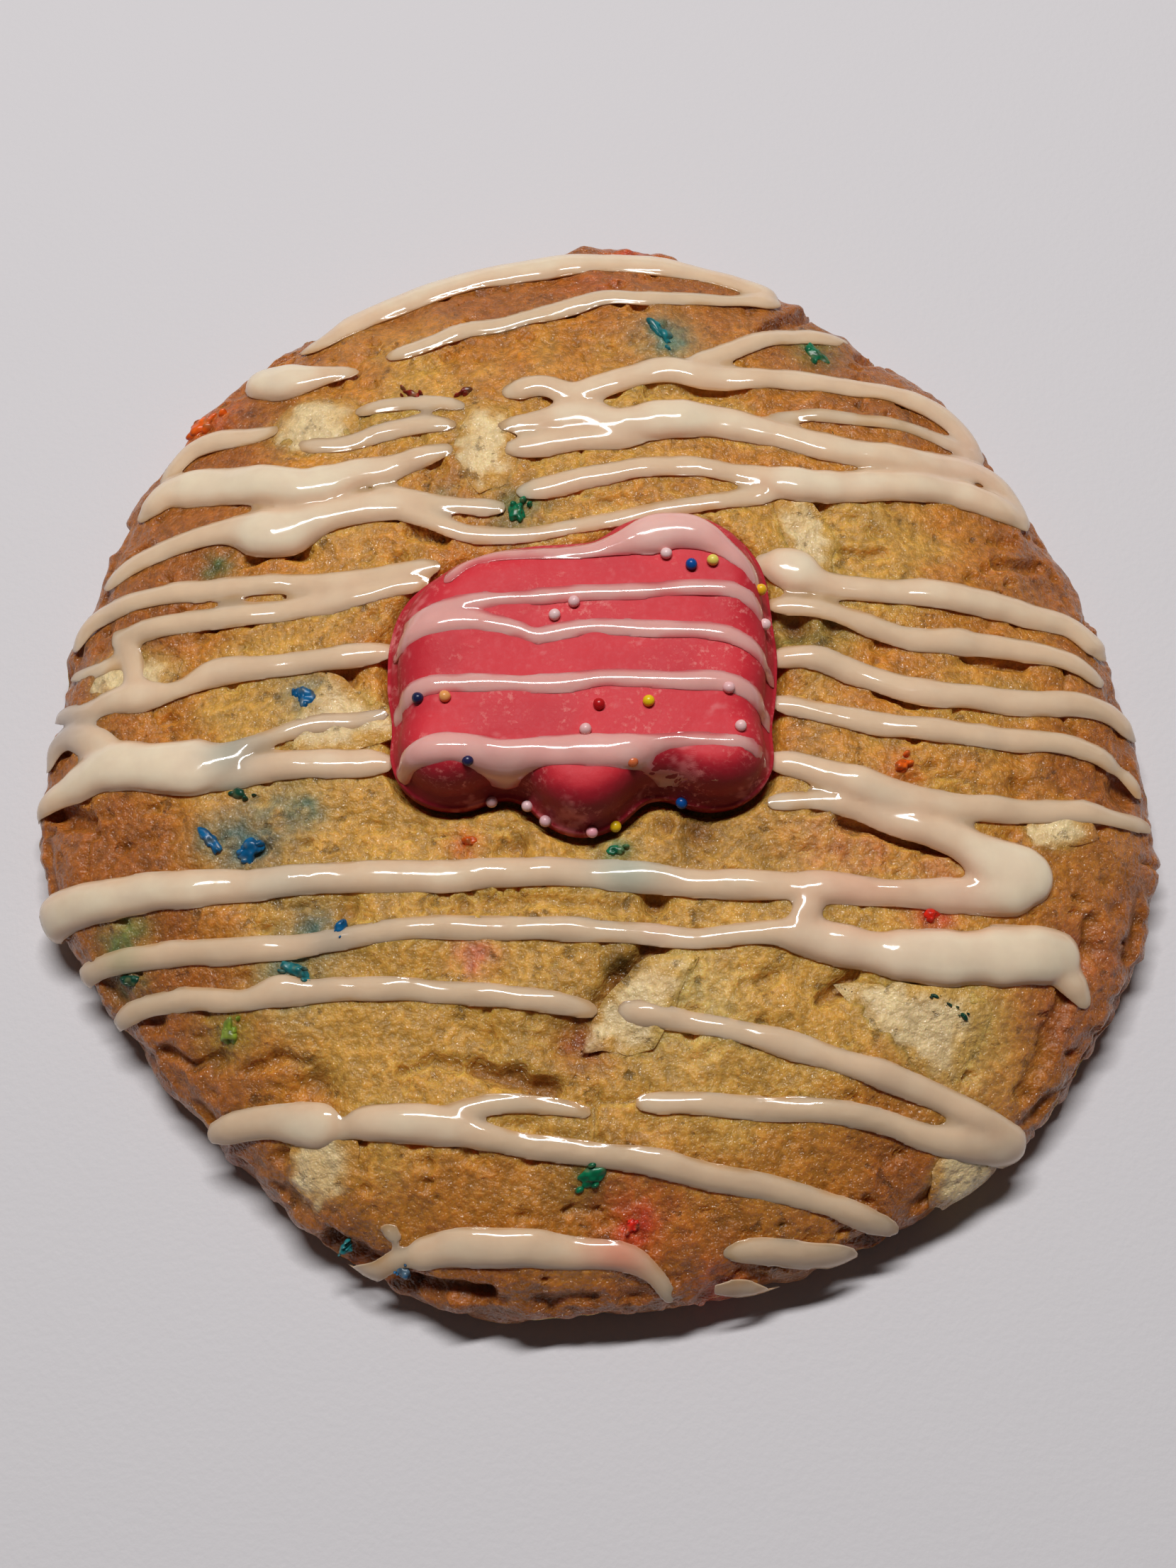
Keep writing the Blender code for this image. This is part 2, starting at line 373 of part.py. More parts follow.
def polar(centre, radius, angle, z):
    return Vector((centre[0] + radius * math.cos(angle), centre[1] + radius * math.sin(angle), z))


def make_dough():
    def on_top(share, angle):
        radius = share * rim_radius(angle) * 0.9999
        return dough_skin(radius * math.cos(angle), radius * math.sin(angle), cracked=True)

    sides = [
        lambda angle, inset=inset, z=z: polar((0, 0), rim_radius(angle) - inset, angle, z)
        for inset, z in SIDE_RINGS
    ]
    return closed_disc("cookie", DOUGH_RINGS, on_top, sides)


def make_biscuit():
    def on_top(share, angle):
        radius = share * biscuit_radius(angle)
        x = BISCUIT_CENTRE[0] + radius * math.cos(angle)
        y = BISCUIT_CENTRE[1] + radius * math.sin(angle)
        return biscuit_skin(x, y)

    sides = [
        lambda angle: polar(BISCUIT_CENTRE, biscuit_radius(angle), angle, BISCUIT_SKIRT - 0.5),
        lambda angle: polar(BISCUIT_CENTRE, biscuit_radius(angle) - 0.8, angle, BISCUIT_BOTTOM),
    ]
    return closed_disc("frosted_biscuit", BISCUIT_RINGS, on_top, sides)


def make_biscuit_seat():
    """Cuts the place where the biscuit is pressed in, and ends the dough's icing at the biscuit's foot."""
    bottom = BISCUIT_BOTTOM - CLEARANCE
    top = BISCUIT_TOP + 10

    def level(angle, z, share=1.0, inset=0.0):
        return polar(BISCUIT_CENTRE, share * biscuit_radius(angle, CLEARANCE) - inset, angle, z)

    sides = [lambda angle: level(angle, BISCUIT_SKIRT - 0.5), lambda angle: level(angle, bottom, inset=0.6)]
    return closed_disc("biscuit_seat", BISCUIT_RINGS, lambda share, angle: level(angle, top, share), sides)


def stations(run, step):
    """Points at even steps along the smooth curve through a stroke's points, as (x, y, width, direction)."""
    columns = list(zip(*run))
    length = sum(math.dist(a[:2], b[:2]) for a, b in zip(run, run[1:]))
    count = max(3, round(length / step) + 1)
    made = []
    for i in range(count):
        place = i / (count - 1) * (len(run) - 1)
        x, y, width = (catmull(column, place) for column in columns)
        ahead = [catmull(column, min(place + 0.05, len(run) - 1)) for column in columns[:2]]
        behind = [catmull(column, max(place - 0.05, 0)) for column in columns[:2]]
        made.append((x, y, width, math.atan2(ahead[1] - behind[1], ahead[0] - behind[0])))
    return made


def make_stroke(name, run, skin):
    """One stroke of icing: a bead with round ends that follows a surface and is rooted in it."""
    places = []
    for x, y, width, heading in stations(run, STATION_STEP):
        places.append((x, y, width, STROKE_RISE[0] + STROKE_RISE[1] * width, heading))
    for end, sign in ((0, -1), (-1, 1)):
        x, y, width, rise, heading = places[end]
        reach = 0.38 * width * sign
        tip = (x + reach * math.cos(heading), y + reach * math.sin(heading), 0.5 * width, 0.55 * rise, heading)
        places.insert(0 if end == 0 else len(places), tip)
    points = []
    for x, y, width, rise, heading in places:
        across = Vector((-math.sin(heading), math.cos(heading)))
        ring = [(u, v * rise) for u, v in STROKE_SECTION] + [(0.0, -STROKE_ROOT)]
        for u, v in ring:
            px, py = x + across.x * u * width / 2, y + across.y * u * width / 2
            points.append(skin(px, py) + v * normal_at(skin, px, py))
    sides = len(STROKE_SECTION) + 1
    faces = [tuple(reversed(range(sides))), tuple(range(len(points) - sides, len(points)))]
    for k in range(len(places) - 1):
        for i in range(sides):
            j = (i + 1) % sides
            a, b = k * sides, (k + 1) * sides
            faces.append((a + i, a + j, b + j, b + i))
    obj = new_object(name, points, faces)
    face_outward(obj)
    return obj


def face_outward(obj):
    work = bmesh.new()
    work.from_mesh(obj.data)
    bmesh.ops.recalc_face_normals(work, faces=work.faces)
    work.to_mesh(obj.data)
    work.free()


def make_pebble(name, centre, half_sizes, turn, tilt_to):
    """A small round or long grain of 20 faces, lying on the surface whose outward direction is tilt_to."""
    work = bmesh.new()
    bmesh.ops.create_icosphere(work, subdivisions=1, radius=1.0)
    lie = tilt_to.to_track_quat("Z", "Y").to_matrix().to_4x4()
    place = Matrix.Translation(centre * MM) @ lie @ Matrix.Rotation(math.radians(turn), 4, "Z")
    place = place @ Matrix.Diagonal((*[h * MM for h in half_sizes], 1.0))
    bmesh.ops.transform(work, matrix=place, verts=work.verts)
    mesh = bpy.data.meshes.new(name)
    work.to_mesh(mesh)
    work.free()
    obj = bpy.data.objects.new(name, mesh)
    bpy.context.scene.collection.objects.link(obj)
    return obj


def make_chunk(name, number, grow=0.0):
    """A white chunk set flush in the dough: an uneven block, flat on top, narrower below."""
    x, y, length, width, turn = CHUNKS[number]
    centre = dough_skin(x, y)
    up = normal_at(dough_skin, x, y)
    side = Vector((math.cos(math.radians(turn)), math.sin(math.radians(turn)), 0.0))
    side = (side - side.dot(up) * up).normalized()
    other = up.cross(side)
    levels = ((0.78, CHUNK_LIFT + 0.15 + grow), (1.0, CHUNK_LIFT - 0.35 + grow), (0.8, -CHUNK_DEPTH - grow))
    points = []
    for share, lift in levels:
        for i in range(CHUNK_CORNERS):
            angle = math.tau * i / CHUNK_CORNERS
            corner = Vector((math.cos(angle), math.sin(angle), number * 3.7))
            uneven = 1 + CHUNK_UNEVEN * noise.noise(corner * 1.7) * 2
            reach_u = share * uneven * length / 2 + grow
            reach_v = share * uneven * width / 2 + grow
            points.append(centre + side * reach_u * corner.x + other * reach_v * corner.y + up * lift)
    points.append(centre + up * (CHUNK_LIFT + 0.3 + grow))
    top = len(points) - 1
    faces = [(top, i, (i + 1) % CHUNK_CORNERS) for i in range(CHUNK_CORNERS)]
    for k in range(len(levels) - 1):
        a, b = k * CHUNK_CORNERS, (k + 1) * CHUNK_CORNERS
        for i in range(CHUNK_CORNERS):
            j = (i + 1) % CHUNK_CORNERS
            faces.append((a + i, b + i, b + j, a + j))
    base = (len(levels) - 1) * CHUNK_CORNERS
    faces.append(tuple(reversed(range(base, base + CHUNK_CORNERS))))
    return new_object(name, points, faces)


def combine(obj, others, operation, solver="EXACT"):
    """Applies one Boolean with a collection of objects, then removes them."""
    group = bpy.data.collections.new(obj.name + "_tools")
    bpy.context.scene.collection.children.link(group)
    for other in others:
        bpy.context.scene.collection.objects.unlink(other)
        group.objects.link(other)
    step = obj.modifiers.new(operation.title(), "BOOLEAN")
    step.operation = operation
    step.solver = solver
    step.operand_type = "COLLECTION"
    step.collection = group
    bpy.context.view_layer.update()
    graph = bpy.context.evaluated_depsgraph_get()
    joined = bpy.data.meshes.new_from_object(obj.evaluated_get(graph))
    obj.modifiers.clear()
    obj.data = joined
    for other in list(group.objects):
        bpy.data.objects.remove(other)
    bpy.data.collections.remove(group)


def keep_largest(obj):
    """Drops loose scraps that a cut leaves, and keeps the one body."""
    work = bmesh.new()
    work.from_mesh(obj.data)
    unseen = set(work.faces)
    bodies = []
    while unseen:
        found, front = [], [unseen.pop()]
        while front:
            face = front.pop()
            found.append(face)
            for edge in face.edges:
                for other in edge.link_faces:
                    if other in unseen:
                        unseen.discard(other)
                        front.append(other)
        bodies.append(found)
    bodies.sort(key=len)
    for body in bodies[:-1]:
        bmesh.ops.delete(work, geom=body, context="FACES")
    work.to_mesh(obj.data)
    work.free()


def finish(obj, colour, roughness, smooth_angle=40):
    """Moves a piece from plan to its place, shades it smooth and gives it its material."""
    obj.data.transform(Matrix.Translation(Vector((PLAN_SHIFT[0], PLAN_SHIFT[1], 0)) * MM))
    obj.data.shade_smooth()
    obj.data.set_sharp_from_angle(angle=math.radians(smooth_angle))
    material = bpy.data.materials.new(obj.name)
    material.use_nodes = True
    surface = material.node_tree.nodes["Principled BSDF"]
    surface.inputs["Base Color"].default_value = (*colour, 1.0)
    surface.inputs["Roughness"].default_value = roughness
    surface.inputs["Metallic"].default_value = 0.0
    obj.data.materials.clear()
    obj.data.materials.append(material)


def build():
    for obj in list(bpy.data.objects):
        bpy.data.objects.remove(obj)

    cookie = make_dough()
    toppings = [make_stroke(f"stroke_{i}", run, dough_skin) for i, run in enumerate(DOUGH_STROKES)]
    for i, (x, y, length, width, turn) in enumerate(BAKED_SPRINKLES):
        halves = (length / 2, width / 2, SPRINKLE_THICKNESS / 2)
        up = normal_at(dough_skin, x, y)
        toppings.append(make_pebble(f"sprinkle_{i}", dough_skin(x, y), halves, turn, up))
    combine(cookie, toppings, "UNION")
    seats = [make_chunk(f"chunk_seat_{i}", i, CLEARANCE) for i in range(len(CHUNKS))]
    combine(cookie, [*seats, make_biscuit_seat()], "DIFFERENCE")
    keep_largest(cookie)
    finish(cookie, (0.38, 0.2, 0.06), 0.6)

    biscuit = make_biscuit()
    toppings = [make_stroke(f"stroke_{i}", run, biscuit_skin) for i, run in enumerate(FROSTING_STROKES)]
    for i, (x, y) in enumerate(BALLS):
        up = normal_at(biscuit_skin, x, y)
        centre = biscuit_skin(x, y) + up * BALL_RADIUS * 0.5
        toppings.append(make_pebble(f"ball_{i}", centre, [BALL_RADIUS] * 3, 17 * i, up))
    combine(biscuit, toppings, "UNION")
    keep_largest(biscuit)
    finish(biscuit, (0.6, 0.05, 0.07), 0.4)

    for i in range(len(CHUNKS)):
        finish(make_chunk(f"white_chunk_{i + 1}", i), (0.75, 0.6, 0.36), 0.45)


build()
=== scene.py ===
import itertools
import math

import bpy
import numpy as np
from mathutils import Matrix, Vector, noise


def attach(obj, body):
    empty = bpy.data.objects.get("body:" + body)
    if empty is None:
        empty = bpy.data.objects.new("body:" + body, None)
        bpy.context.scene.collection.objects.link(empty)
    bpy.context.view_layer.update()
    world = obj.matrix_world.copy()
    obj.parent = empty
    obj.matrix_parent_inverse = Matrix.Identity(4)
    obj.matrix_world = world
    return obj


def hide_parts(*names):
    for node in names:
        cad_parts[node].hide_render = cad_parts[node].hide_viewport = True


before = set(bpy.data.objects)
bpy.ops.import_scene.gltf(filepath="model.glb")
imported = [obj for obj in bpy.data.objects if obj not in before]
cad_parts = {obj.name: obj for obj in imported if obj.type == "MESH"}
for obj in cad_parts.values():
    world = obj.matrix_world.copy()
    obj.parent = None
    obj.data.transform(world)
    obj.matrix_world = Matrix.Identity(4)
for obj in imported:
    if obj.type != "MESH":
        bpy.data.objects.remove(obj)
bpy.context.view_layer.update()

mm = 0.001
planShift = (0.2, -0.85)  # from the middle of the dough, where plan points count from, to the model's origin
lightLevel = 0.77  # how bright a white surface lying flat comes out
rng = np.random.default_rng(11)


# Small helpers


def clearSelection():
    for obj in list(bpy.context.selected_objects):
        obj.select_set(False)


def placesOf(obj, kind="co"):
    flat = np.empty(len(obj.data.vertices) * 3, np.float32)
    obj.data.vertices.foreach_get(kind, flat)
    return flat.reshape(-1, 3).astype(float)


def setPlaces(obj, points):
    obj.data.vertices.foreach_set("co", np.ascontiguousarray(points, np.float32).ravel())
    obj.data.update()


def setNumbers(obj, name, colours):  # a colour for each vertex, in linear light
    layer = obj.data.color_attributes.new(name=name, type="FLOAT_COLOR", domain="POINT")
    full = np.concatenate([colours, np.ones((len(colours), 1))], axis=1)
    layer.data.foreach_set("color", np.ascontiguousarray(full, np.float32).ravel())


def applyStep(obj, kind, **settings):
    step = obj.modifiers.new(kind.title(), kind)
    for name, value in settings.items():
        setattr(step, name, value)
    with bpy.context.temp_override(object=obj, active_object=obj, selected_objects=[obj]):
        bpy.ops.object.modifier_apply(modifier=step.name)


def settle(obj, slot, material, *nodes):  # from plan millimetres to the model's metres, and onto its body
    points = placesOf(obj)
    points[:, 0] += planShift[0]
    points[:, 1] += planShift[1]
    setPlaces(obj, points * mm)
    obj.data.shade_smooth()
    obj.data.materials.append(material)
    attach(obj, "root")
    if nodes:
        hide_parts(*nodes)


def tone(red, green, blue):  # an albedo that comes out as this colour of the photograph
    shown = np.array((red, green, blue)) / 255
    linear = np.where(shown <= 0.04045, shown / 12.92, ((shown + 0.055) / 1.055) ** 2.4)
    return np.minimum(linear / lightLevel, 0.95)


def blend(colours, target, amount):  # changes the colours in place
    colours += (target - colours) * np.clip(amount, 0, 1)[:, None]


def ramp(values, low, high):  # 0 below low, 1 above high, smooth between
    share = np.clip((values - low) / (high - low), 0, 1)
    return share * share * (3 - 2 * share)


def fade(x, y, cx, cy, radius, wander=0):  # 1 in the middle of a round patch, dying away past its radius
    return np.exp(-(((np.hypot(x - cx, y - cy) + wander) / radius) ** 2))


def turned(a, b, degrees):
    turn = math.radians(degrees)
    return a * math.cos(turn) - b * math.sin(turn), b * math.cos(turn) + a * math.sin(turn)


def grain(points, size, seed):  # smooth bumps from -1 to 1, about size across
    p = points / size + seed * 17.31
    cell = np.floor(p).astype(np.int64)
    part = p - cell
    ease = part**3 * (part * (part * 6 - 15) + 10)
    total = np.zeros(len(p))
    for corner in itertools.product((0, 1), repeat=3):
        key = (cell + np.array(corner)) @ np.array((73856093, 19349663, 83492791))
        key = (key ^ (key >> 13)) * 1274126177
        value = ((key ^ (key >> 16)) & 0xFFFF) / 32767.5 - 1
        total += value * np.prod(np.where(corner, ease, 1 - ease), axis=1)
    return total


def catmull(values, place):
    last = len(values) - 1
    k = min(int(place), last - 1)
    f = place - k
    a, b, c, d = (values[max(0, min(last, k + i))] for i in (-1, 0, 1, 2))
    return b + 0.5 * f * (c - a + f * (2 * a - 5 * b + 4 * c - d + f * (3 * (b - c) + d - a)))


def distanceToRun(x, y, run):
    best = np.full(len(x), np.inf)
    for (ax, ay), (bx, by) in zip(run, run[1:]):
        dx, dy = bx - ax, by - ay
        along = np.clip(((x - ax) * dx + (y - ay) * dy) / (dx * dx + dy * dy), 0, 1)
        best = np.minimum(best, np.hypot(x - ax - along * dx, y - ay - along * dy))
    return best


def normalAt(skin, x, y):
    step = 0.6
    across = skin(x + step, y) - skin(x - step, y)
    along = skin(x, y + step) - skin(x, y - step)
    outward = np.cross(across, along)
    return outward / np.linalg.norm(outward, axis=1)[:, None]


def spotOn(skin, x, y):  # one place on a skin, and the way up from it
    x, y = np.array([x]), np.array([y])
    return skin(x, y)[0], normalAt(skin, x, y)[0]


# The dough: a thick round with a full shoulder

dough = {  # the rim's radii start at +X and follow each other at 15 degrees
    "rimRadii": (48.4, 46.8, 46.3, 47.7, 48.2, 50.4, 51.8, 50.3, 50.0, 50.0, 49.2, 48.5,
                 48.8, 50.3, 48.3, 48.0, 49.1, 50.8, 49.8, 49.4, 49.7, 50.6, 50.9, 50.7),
    "rimHeight": 4.0,
    "centreHeight": 15.0,
    "domePower": 3.2,
    "domeRounding": 0.62,
    "cragDepth": 0.25,
    "cragSize": 7.0,
    "lumpHeight": 0.75,
    "lumpSize": 8.0,
    "shoulder": 0.1,  # the share of the way in over which the lumps fade towards the rim
    "sideLean": 0.06,
    "undercut": 2.3,
    "cells": 282,  # squares along each side of the sheet that becomes the top
    "sideRings": 8,
    "grains": ((4.6, 0.14), (1.6, 0.1), (0.9, 0.08)),  # size and height of each layer of bumps
    "pits": 700,
    "pitDepth": 0.55,
    "fissureDepth": 0.5,
    "inset": 0.12,  # keeps the crumb's tops level with the solid
    "seat": 13.0,  # height of the dough under the biscuit
    "chunkBed": 0.9,
}
cracks = (  # width, depth, points
    (1.1, 1.0, ((5.0, -20.4), (4.0, -21.9), (2.9, -23.2), (1.6, -24.2), (0.6, -26.0))),
    (0.9, 1.6, ((-9.8, -30.8), (-8.2, -31.6), (-6.6, -31.9), (-5.6, -32.8), (-3.8, -32.7))),
    (0.8, 0.7, ((42.0, -17.5), (40.9, -20.6), (38.9, -24.5), (37.6, -28.4), (35.6, -31.8))),
    (0.55, 1.2, ((18.2, -25.2), (19.2, -24.9), (19.9, -24.0), (20.9, -23.5))),
    (0.5, 0.9, ((22.0, 15.3), (23.6, 14.9), (25.2, 15.1))),
    (0.6, 0.9, ((35.6, 15.4), (37.4, 15.4), (39.8, 16.3))),
    (0.7, 0.7, ((5.0, 31.2), (9.0, 31.6), (13.4, 31.4))),
    (0.6, 0.6, ((-13.5, -17.2), (-9.0, -17.8), (-4.6, -17.2), (2.0, -17.8))),
    (0.7, 1.2, ((20.6, -10.4), (23.6, -10.6), (26.0, -11.7), (29.4, -12.0))),
    (0.8, 1.2, ((-44.0, -8.4), (-47.8, -6.6))),
    (0.5, 0.9, ((-16.0, -31.2), (-13.4, -30.2), (-11.6, -30.6))),
    (0.5, 0.8, ((-29.0, -30.4), (-26.0, -29.6), (-23.6, -30.3))),
    (0.5, 0.8, ((-36.8, -28.0), (-34.0, -29.6), (-32.4, -29.2))),
    (0.6, 0.9, ((12.0, -24.2), (14.6, -23.4))),
    (0.5, 0.9, ((32.0, 5.6), (34.6, 5.0), (37.2, 5.4))),
    (0.5, 0.8, ((24.0, 1.6), (27.2, 0.8))),
    (0.6, 1.0, ((-16.4, 17.0), (-13.6, 15.8))),
    (0.5, 0.9, ((-30.6, 14.8), (-28.0, 15.6), (-25.6, 15.0))),
    (0.6, 1.1, ((15.6, 39.4), (20.0, 43.6), (24.4, 43.8))),
    (0.7, 1.2, ((24.8, 38.2), (28.6, 39.8), (31.4, 37.0))),
    (0.8, 1.3, ((-22.0, -43.6), (-16.0, -47.4), (-9.0, -48.4))),
    (0.7, 1.1, ((14.0, -45.4), (20.0, -45.6), (24.4, -43.6))),
)
hollows = (  # x, y, radius, depth
    (-1.4, -28.6, 1.8, 1), (-2.9, -29.4, 1.2, 0.8), (16.9, 7.7, 1.5, 1.6), (20.4, 7.5, 1, 1.2),
    (-23, -31.8, 1.7, 1.3), (-7.1, -12.6, 1, 1.4), (46, -5, 1.5, 1.4), (41.7, -19.5, 1.1, 1),
    (4.8, -17, 1, 1.6), (-21, -17.8, 1, 1.3), (-13.6, 35.8, 0.8, 0.9), (-21.5, 2.8, 1.2, 1.3),
    (8.5, -11.2, 1.9, 1.5), (5.4, -10.4, 1.2, 1.2), (-11, -17.4, 0.8, 1.1), (-18.4, 5.6, 0.9, 1.1),
    (22.4, -24.6, 0.6, 0.8), (30.6, -12.7, 0.7, 1), (36, -6.2, 0.9, 0.9), (19.2, 19.4, 0.9, 1),
    (-31.8, -29.4, 0.8, 1), (-37.2, -25.6, 0.9, 1), (-9, -28.4, 0.7, 0.8), (-41.6, 5.4, 1, 1),
)
chunks = {  # x, y, length, width, turn in degrees
    "white_chunk_1": (18.3, 16.6, 5.6, 3.2, 115), "white_chunk_2": (-21.9, -0.9, 6.4, 5, 0),
    "white_chunk_3": (27.2, -27, 8, 6, -20), "white_chunk_4": (3.7, -25.6, 7.4, 3.6, 48),
    "white_chunk_5": (-10, 25.4, 3.8, 6.8, 5), "white_chunk_6": (-25.6, 28.4, 6, 4.6, 15),
    "white_chunk_7": (-22.6, -37.6, 4, 4.8, 10), "white_chunk_8": (-40.2, 4.6, 6.4, 4.4, -15),
    "white_chunk_9": (30.6, -38, 5.4, 3.2, 40), "white_chunk_10": (39, -9.6, 4.6, 3, 10),
}
chunk = {
    "squareness": 2.6,
    "spread": 1.2,
    "top": 0.05,
    "edge": -0.12,
    "sunk": 1.4,
    "sides": {"white_chunk_2": 3, "white_chunk_3": 3, "white_chunk_4": 4},  # the others are five-sided
    "ivory": tone(218, 188, 138),
    "tan": tone(204, 166, 106),
    "halo": tone(198, 154, 78),
}


def rimRadius(angle):
    radii = dough["rimRadii"]
    place = angle / math.tau % 1.0 * len(radii)
    k = int(place)
    near = [radii[(k + i) % len(radii)] for i in (-1, 0, 1, 2)]
    smooth = catmull(near, 1 + place - k)
    crag = noise.noise(Vector((math.cos(angle), math.sin(angle), 0.3)) * smooth / dough["cragSize"])
    return smooth + dough["cragDepth"] * crag


rimSteps = 1440
rimTable = np.array([rimRadius(math.tau * k / rimSteps) for k in range(rimSteps + 1)])


def rimAt(angle):
    return np.interp(angle / math.tau % 1.0 * rimSteps, np.arange(rimSteps + 1), rimTable)


def lumpAt(a, b):
    size = dough["lumpSize"]
    return noise.noise(Vector((a, b, 0.0)) / size) + 0.5 * noise.noise(Vector((a, b, 40.0)) * 2 / size)


gridReach, gridStep = 56.0, 0.3
gridCount = round(2 * gridReach / gridStep) + 1
gridPlaces = [k * gridStep - gridReach for k in range(gridCount)]
lumpGrid = np.array([[lumpAt(a, b) for b in gridPlaces] for a in gridPlaces])
frostGrid = np.array([[noise.noise(Vector((a, b, 9.0)) / 6.0) for b in gridPlaces] for a in gridPlaces])


def gridAt(grid, x, y):  # a value between the grid's places
    u = np.clip((x + gridReach) / gridStep, 0, gridCount - 2)
    v = np.clip((y + gridReach) / gridStep, 0, gridCount - 2)
    i, j = u.astype(int), v.astype(int)
    u, v = u - i, v - j
    near = grid[i, j] * (1 - v) + grid[i, j + 1] * v
    far = grid[i + 1, j] * (1 - v) + grid[i + 1, j + 1] * v
    return near * (1 - u) + far * u


def doughSkin(x, y):  # past the rim the plan distance runs down the side
    angle = np.arctan2(y, x)
    rim = rimAt(angle)
    radius = np.hypot(x, y)
    share = np.minimum(radius / rim, 1.0)
    level = np.minimum(1.0, (1 - share) / dough["shoulder"])
    rise = (1 - share ** dough["domePower"]) ** dough["domeRounding"]
    z = dough["rimHeight"] + (dough["centreHeight"] - dough["rimHeight"]) * rise
    z = z + level * dough["lumpHeight"] * gridAt(lumpGrid, x, y)
    down = np.clip(radius - rim, 0, dough["rimHeight"] - 0.8)
    out = np.where(radius > rim, rim - dough["sideLean"] * down**2, radius)
    return np.stack([out * np.cos(angle), out * np.sin(angle), z - down], axis=1)


def cragDepth(x, y):
    wander = 0.35 * grain(np.stack([x, y, 0 * x], axis=1), 1.3, 5)
    depth = np.zeros(len(x))
    for width, most, run in cracks:
        depth = np.maximum(depth, most * np.exp(-(((distanceToRun(x, y, run) + wander) / width) ** 4)))
    for hx, hy, radius, most in hollows:
        depth = np.maximum(depth, most * fade(x, y, hx, hy, radius, wander))
    return depth


def chunkShare(x, y, place):  # 0 in a chunk's middle, 1 at its edge
    cx, cy, length, width, turn = place
    along, across = turned(x - cx, y - cy, -turn)
    square = chunk["squareness"]
    return (np.abs(2 * along / length) ** square + np.abs(2 * across / width) ** square) ** (1 / square)


# The frosted biscuit: a smooth union of rounded lobes

biscuit = {
    "lobes": (  # x, y, half length, half width, squareness
        (-1.3, 2.9, 16.6, 11.6, 2.5), (6.2, 9.9, 8.4, 7.5, 2.1), (-12.3, -4.9, 5.0, 4.5, 2.0),
        (-1.2, -6.2, 5.2, 5.5, 2.0), (9.7, -4.8, 5.0, 4.6, 2.0),
    ),
    "centre": (-1.0, 1.5),
    "bottom": 12.9,
    "skirt": 15.2,
    "top": 20.4,
    "skirtWidth": 0.7,
    "skirtRise": 1.5,
    "skirtEdge": 0.3,
    "shoulder": 3.0,
    "shoulderPower": 2.4,
    "waves": 0.3,
    "sideDrop": 0.4,
    "blend": 1.6,
    "undercut": 0.8,
    "cells": 190,
    "sideRings": 4,
}


def lobeField(x, y):  # roughly the distance inward from the outline
    total = 0
    for cx, cy, halfX, halfY, square in biscuit["lobes"]:
        span = (np.abs((x - cx) / halfX) ** square + np.abs((y - cy) / halfY) ** square) ** (1 / square)
        total = total + np.exp(biscuit["blend"] * (1 - span) * min(halfX, halfY))
    return np.log(total) / biscuit["blend"]


def outlineRadii(angle):
    cx, cy = biscuit["centre"]
    inner, outer = np.full(len(angle), 4.0), np.full(len(angle), 24.0)
    for _ in range(26):
        middle = (inner + outer) / 2
        inside = lobeField(cx + middle * np.cos(angle), cy + middle * np.sin(angle)) > 0
        inner, outer = np.where(inside, middle, inner), np.where(inside, outer, middle)
    return inner


outlineTable = outlineRadii(np.linspace(0, math.tau, rimSteps + 1))


def outlineAt(angle):
    return np.interp(angle / math.tau % 1.0 * rimSteps, np.arange(rimSteps + 1), outlineTable)


def biscuitSkin(x, y):
    cx, cy = biscuit["centre"]
    dx, dy = x - cx, y - cy
    angle = np.arctan2(dy, dx)
    foot = outlineAt(angle) - biscuit["skirtEdge"]
    radius = np.hypot(dx, dy)
    past = np.maximum(0, radius - foot)
    radius = np.minimum(radius, foot) + 0.5 * biscuit["skirtEdge"] * (1 - np.exp(-past))
    px, py = cx + radius * np.cos(angle), cy + radius * np.sin(angle)
    inward = lobeField(px, py)
    base = biscuit["skirt"] + biscuit["skirtRise"] * np.clip(inward / biscuit["skirtWidth"], 0, 1)
    share = np.clip((inward - biscuit["skirtWidth"]) / biscuit["shoulder"], 0, 1)
    z = base + (biscuit["top"] - base) * np.sqrt(1 - (1 - share) ** biscuit["shoulderPower"])
    z = z + biscuit["waves"] * share * gridAt(frostGrid, px, py) - biscuit["sideDrop"] * past
    return np.stack([px, py, z], axis=1)


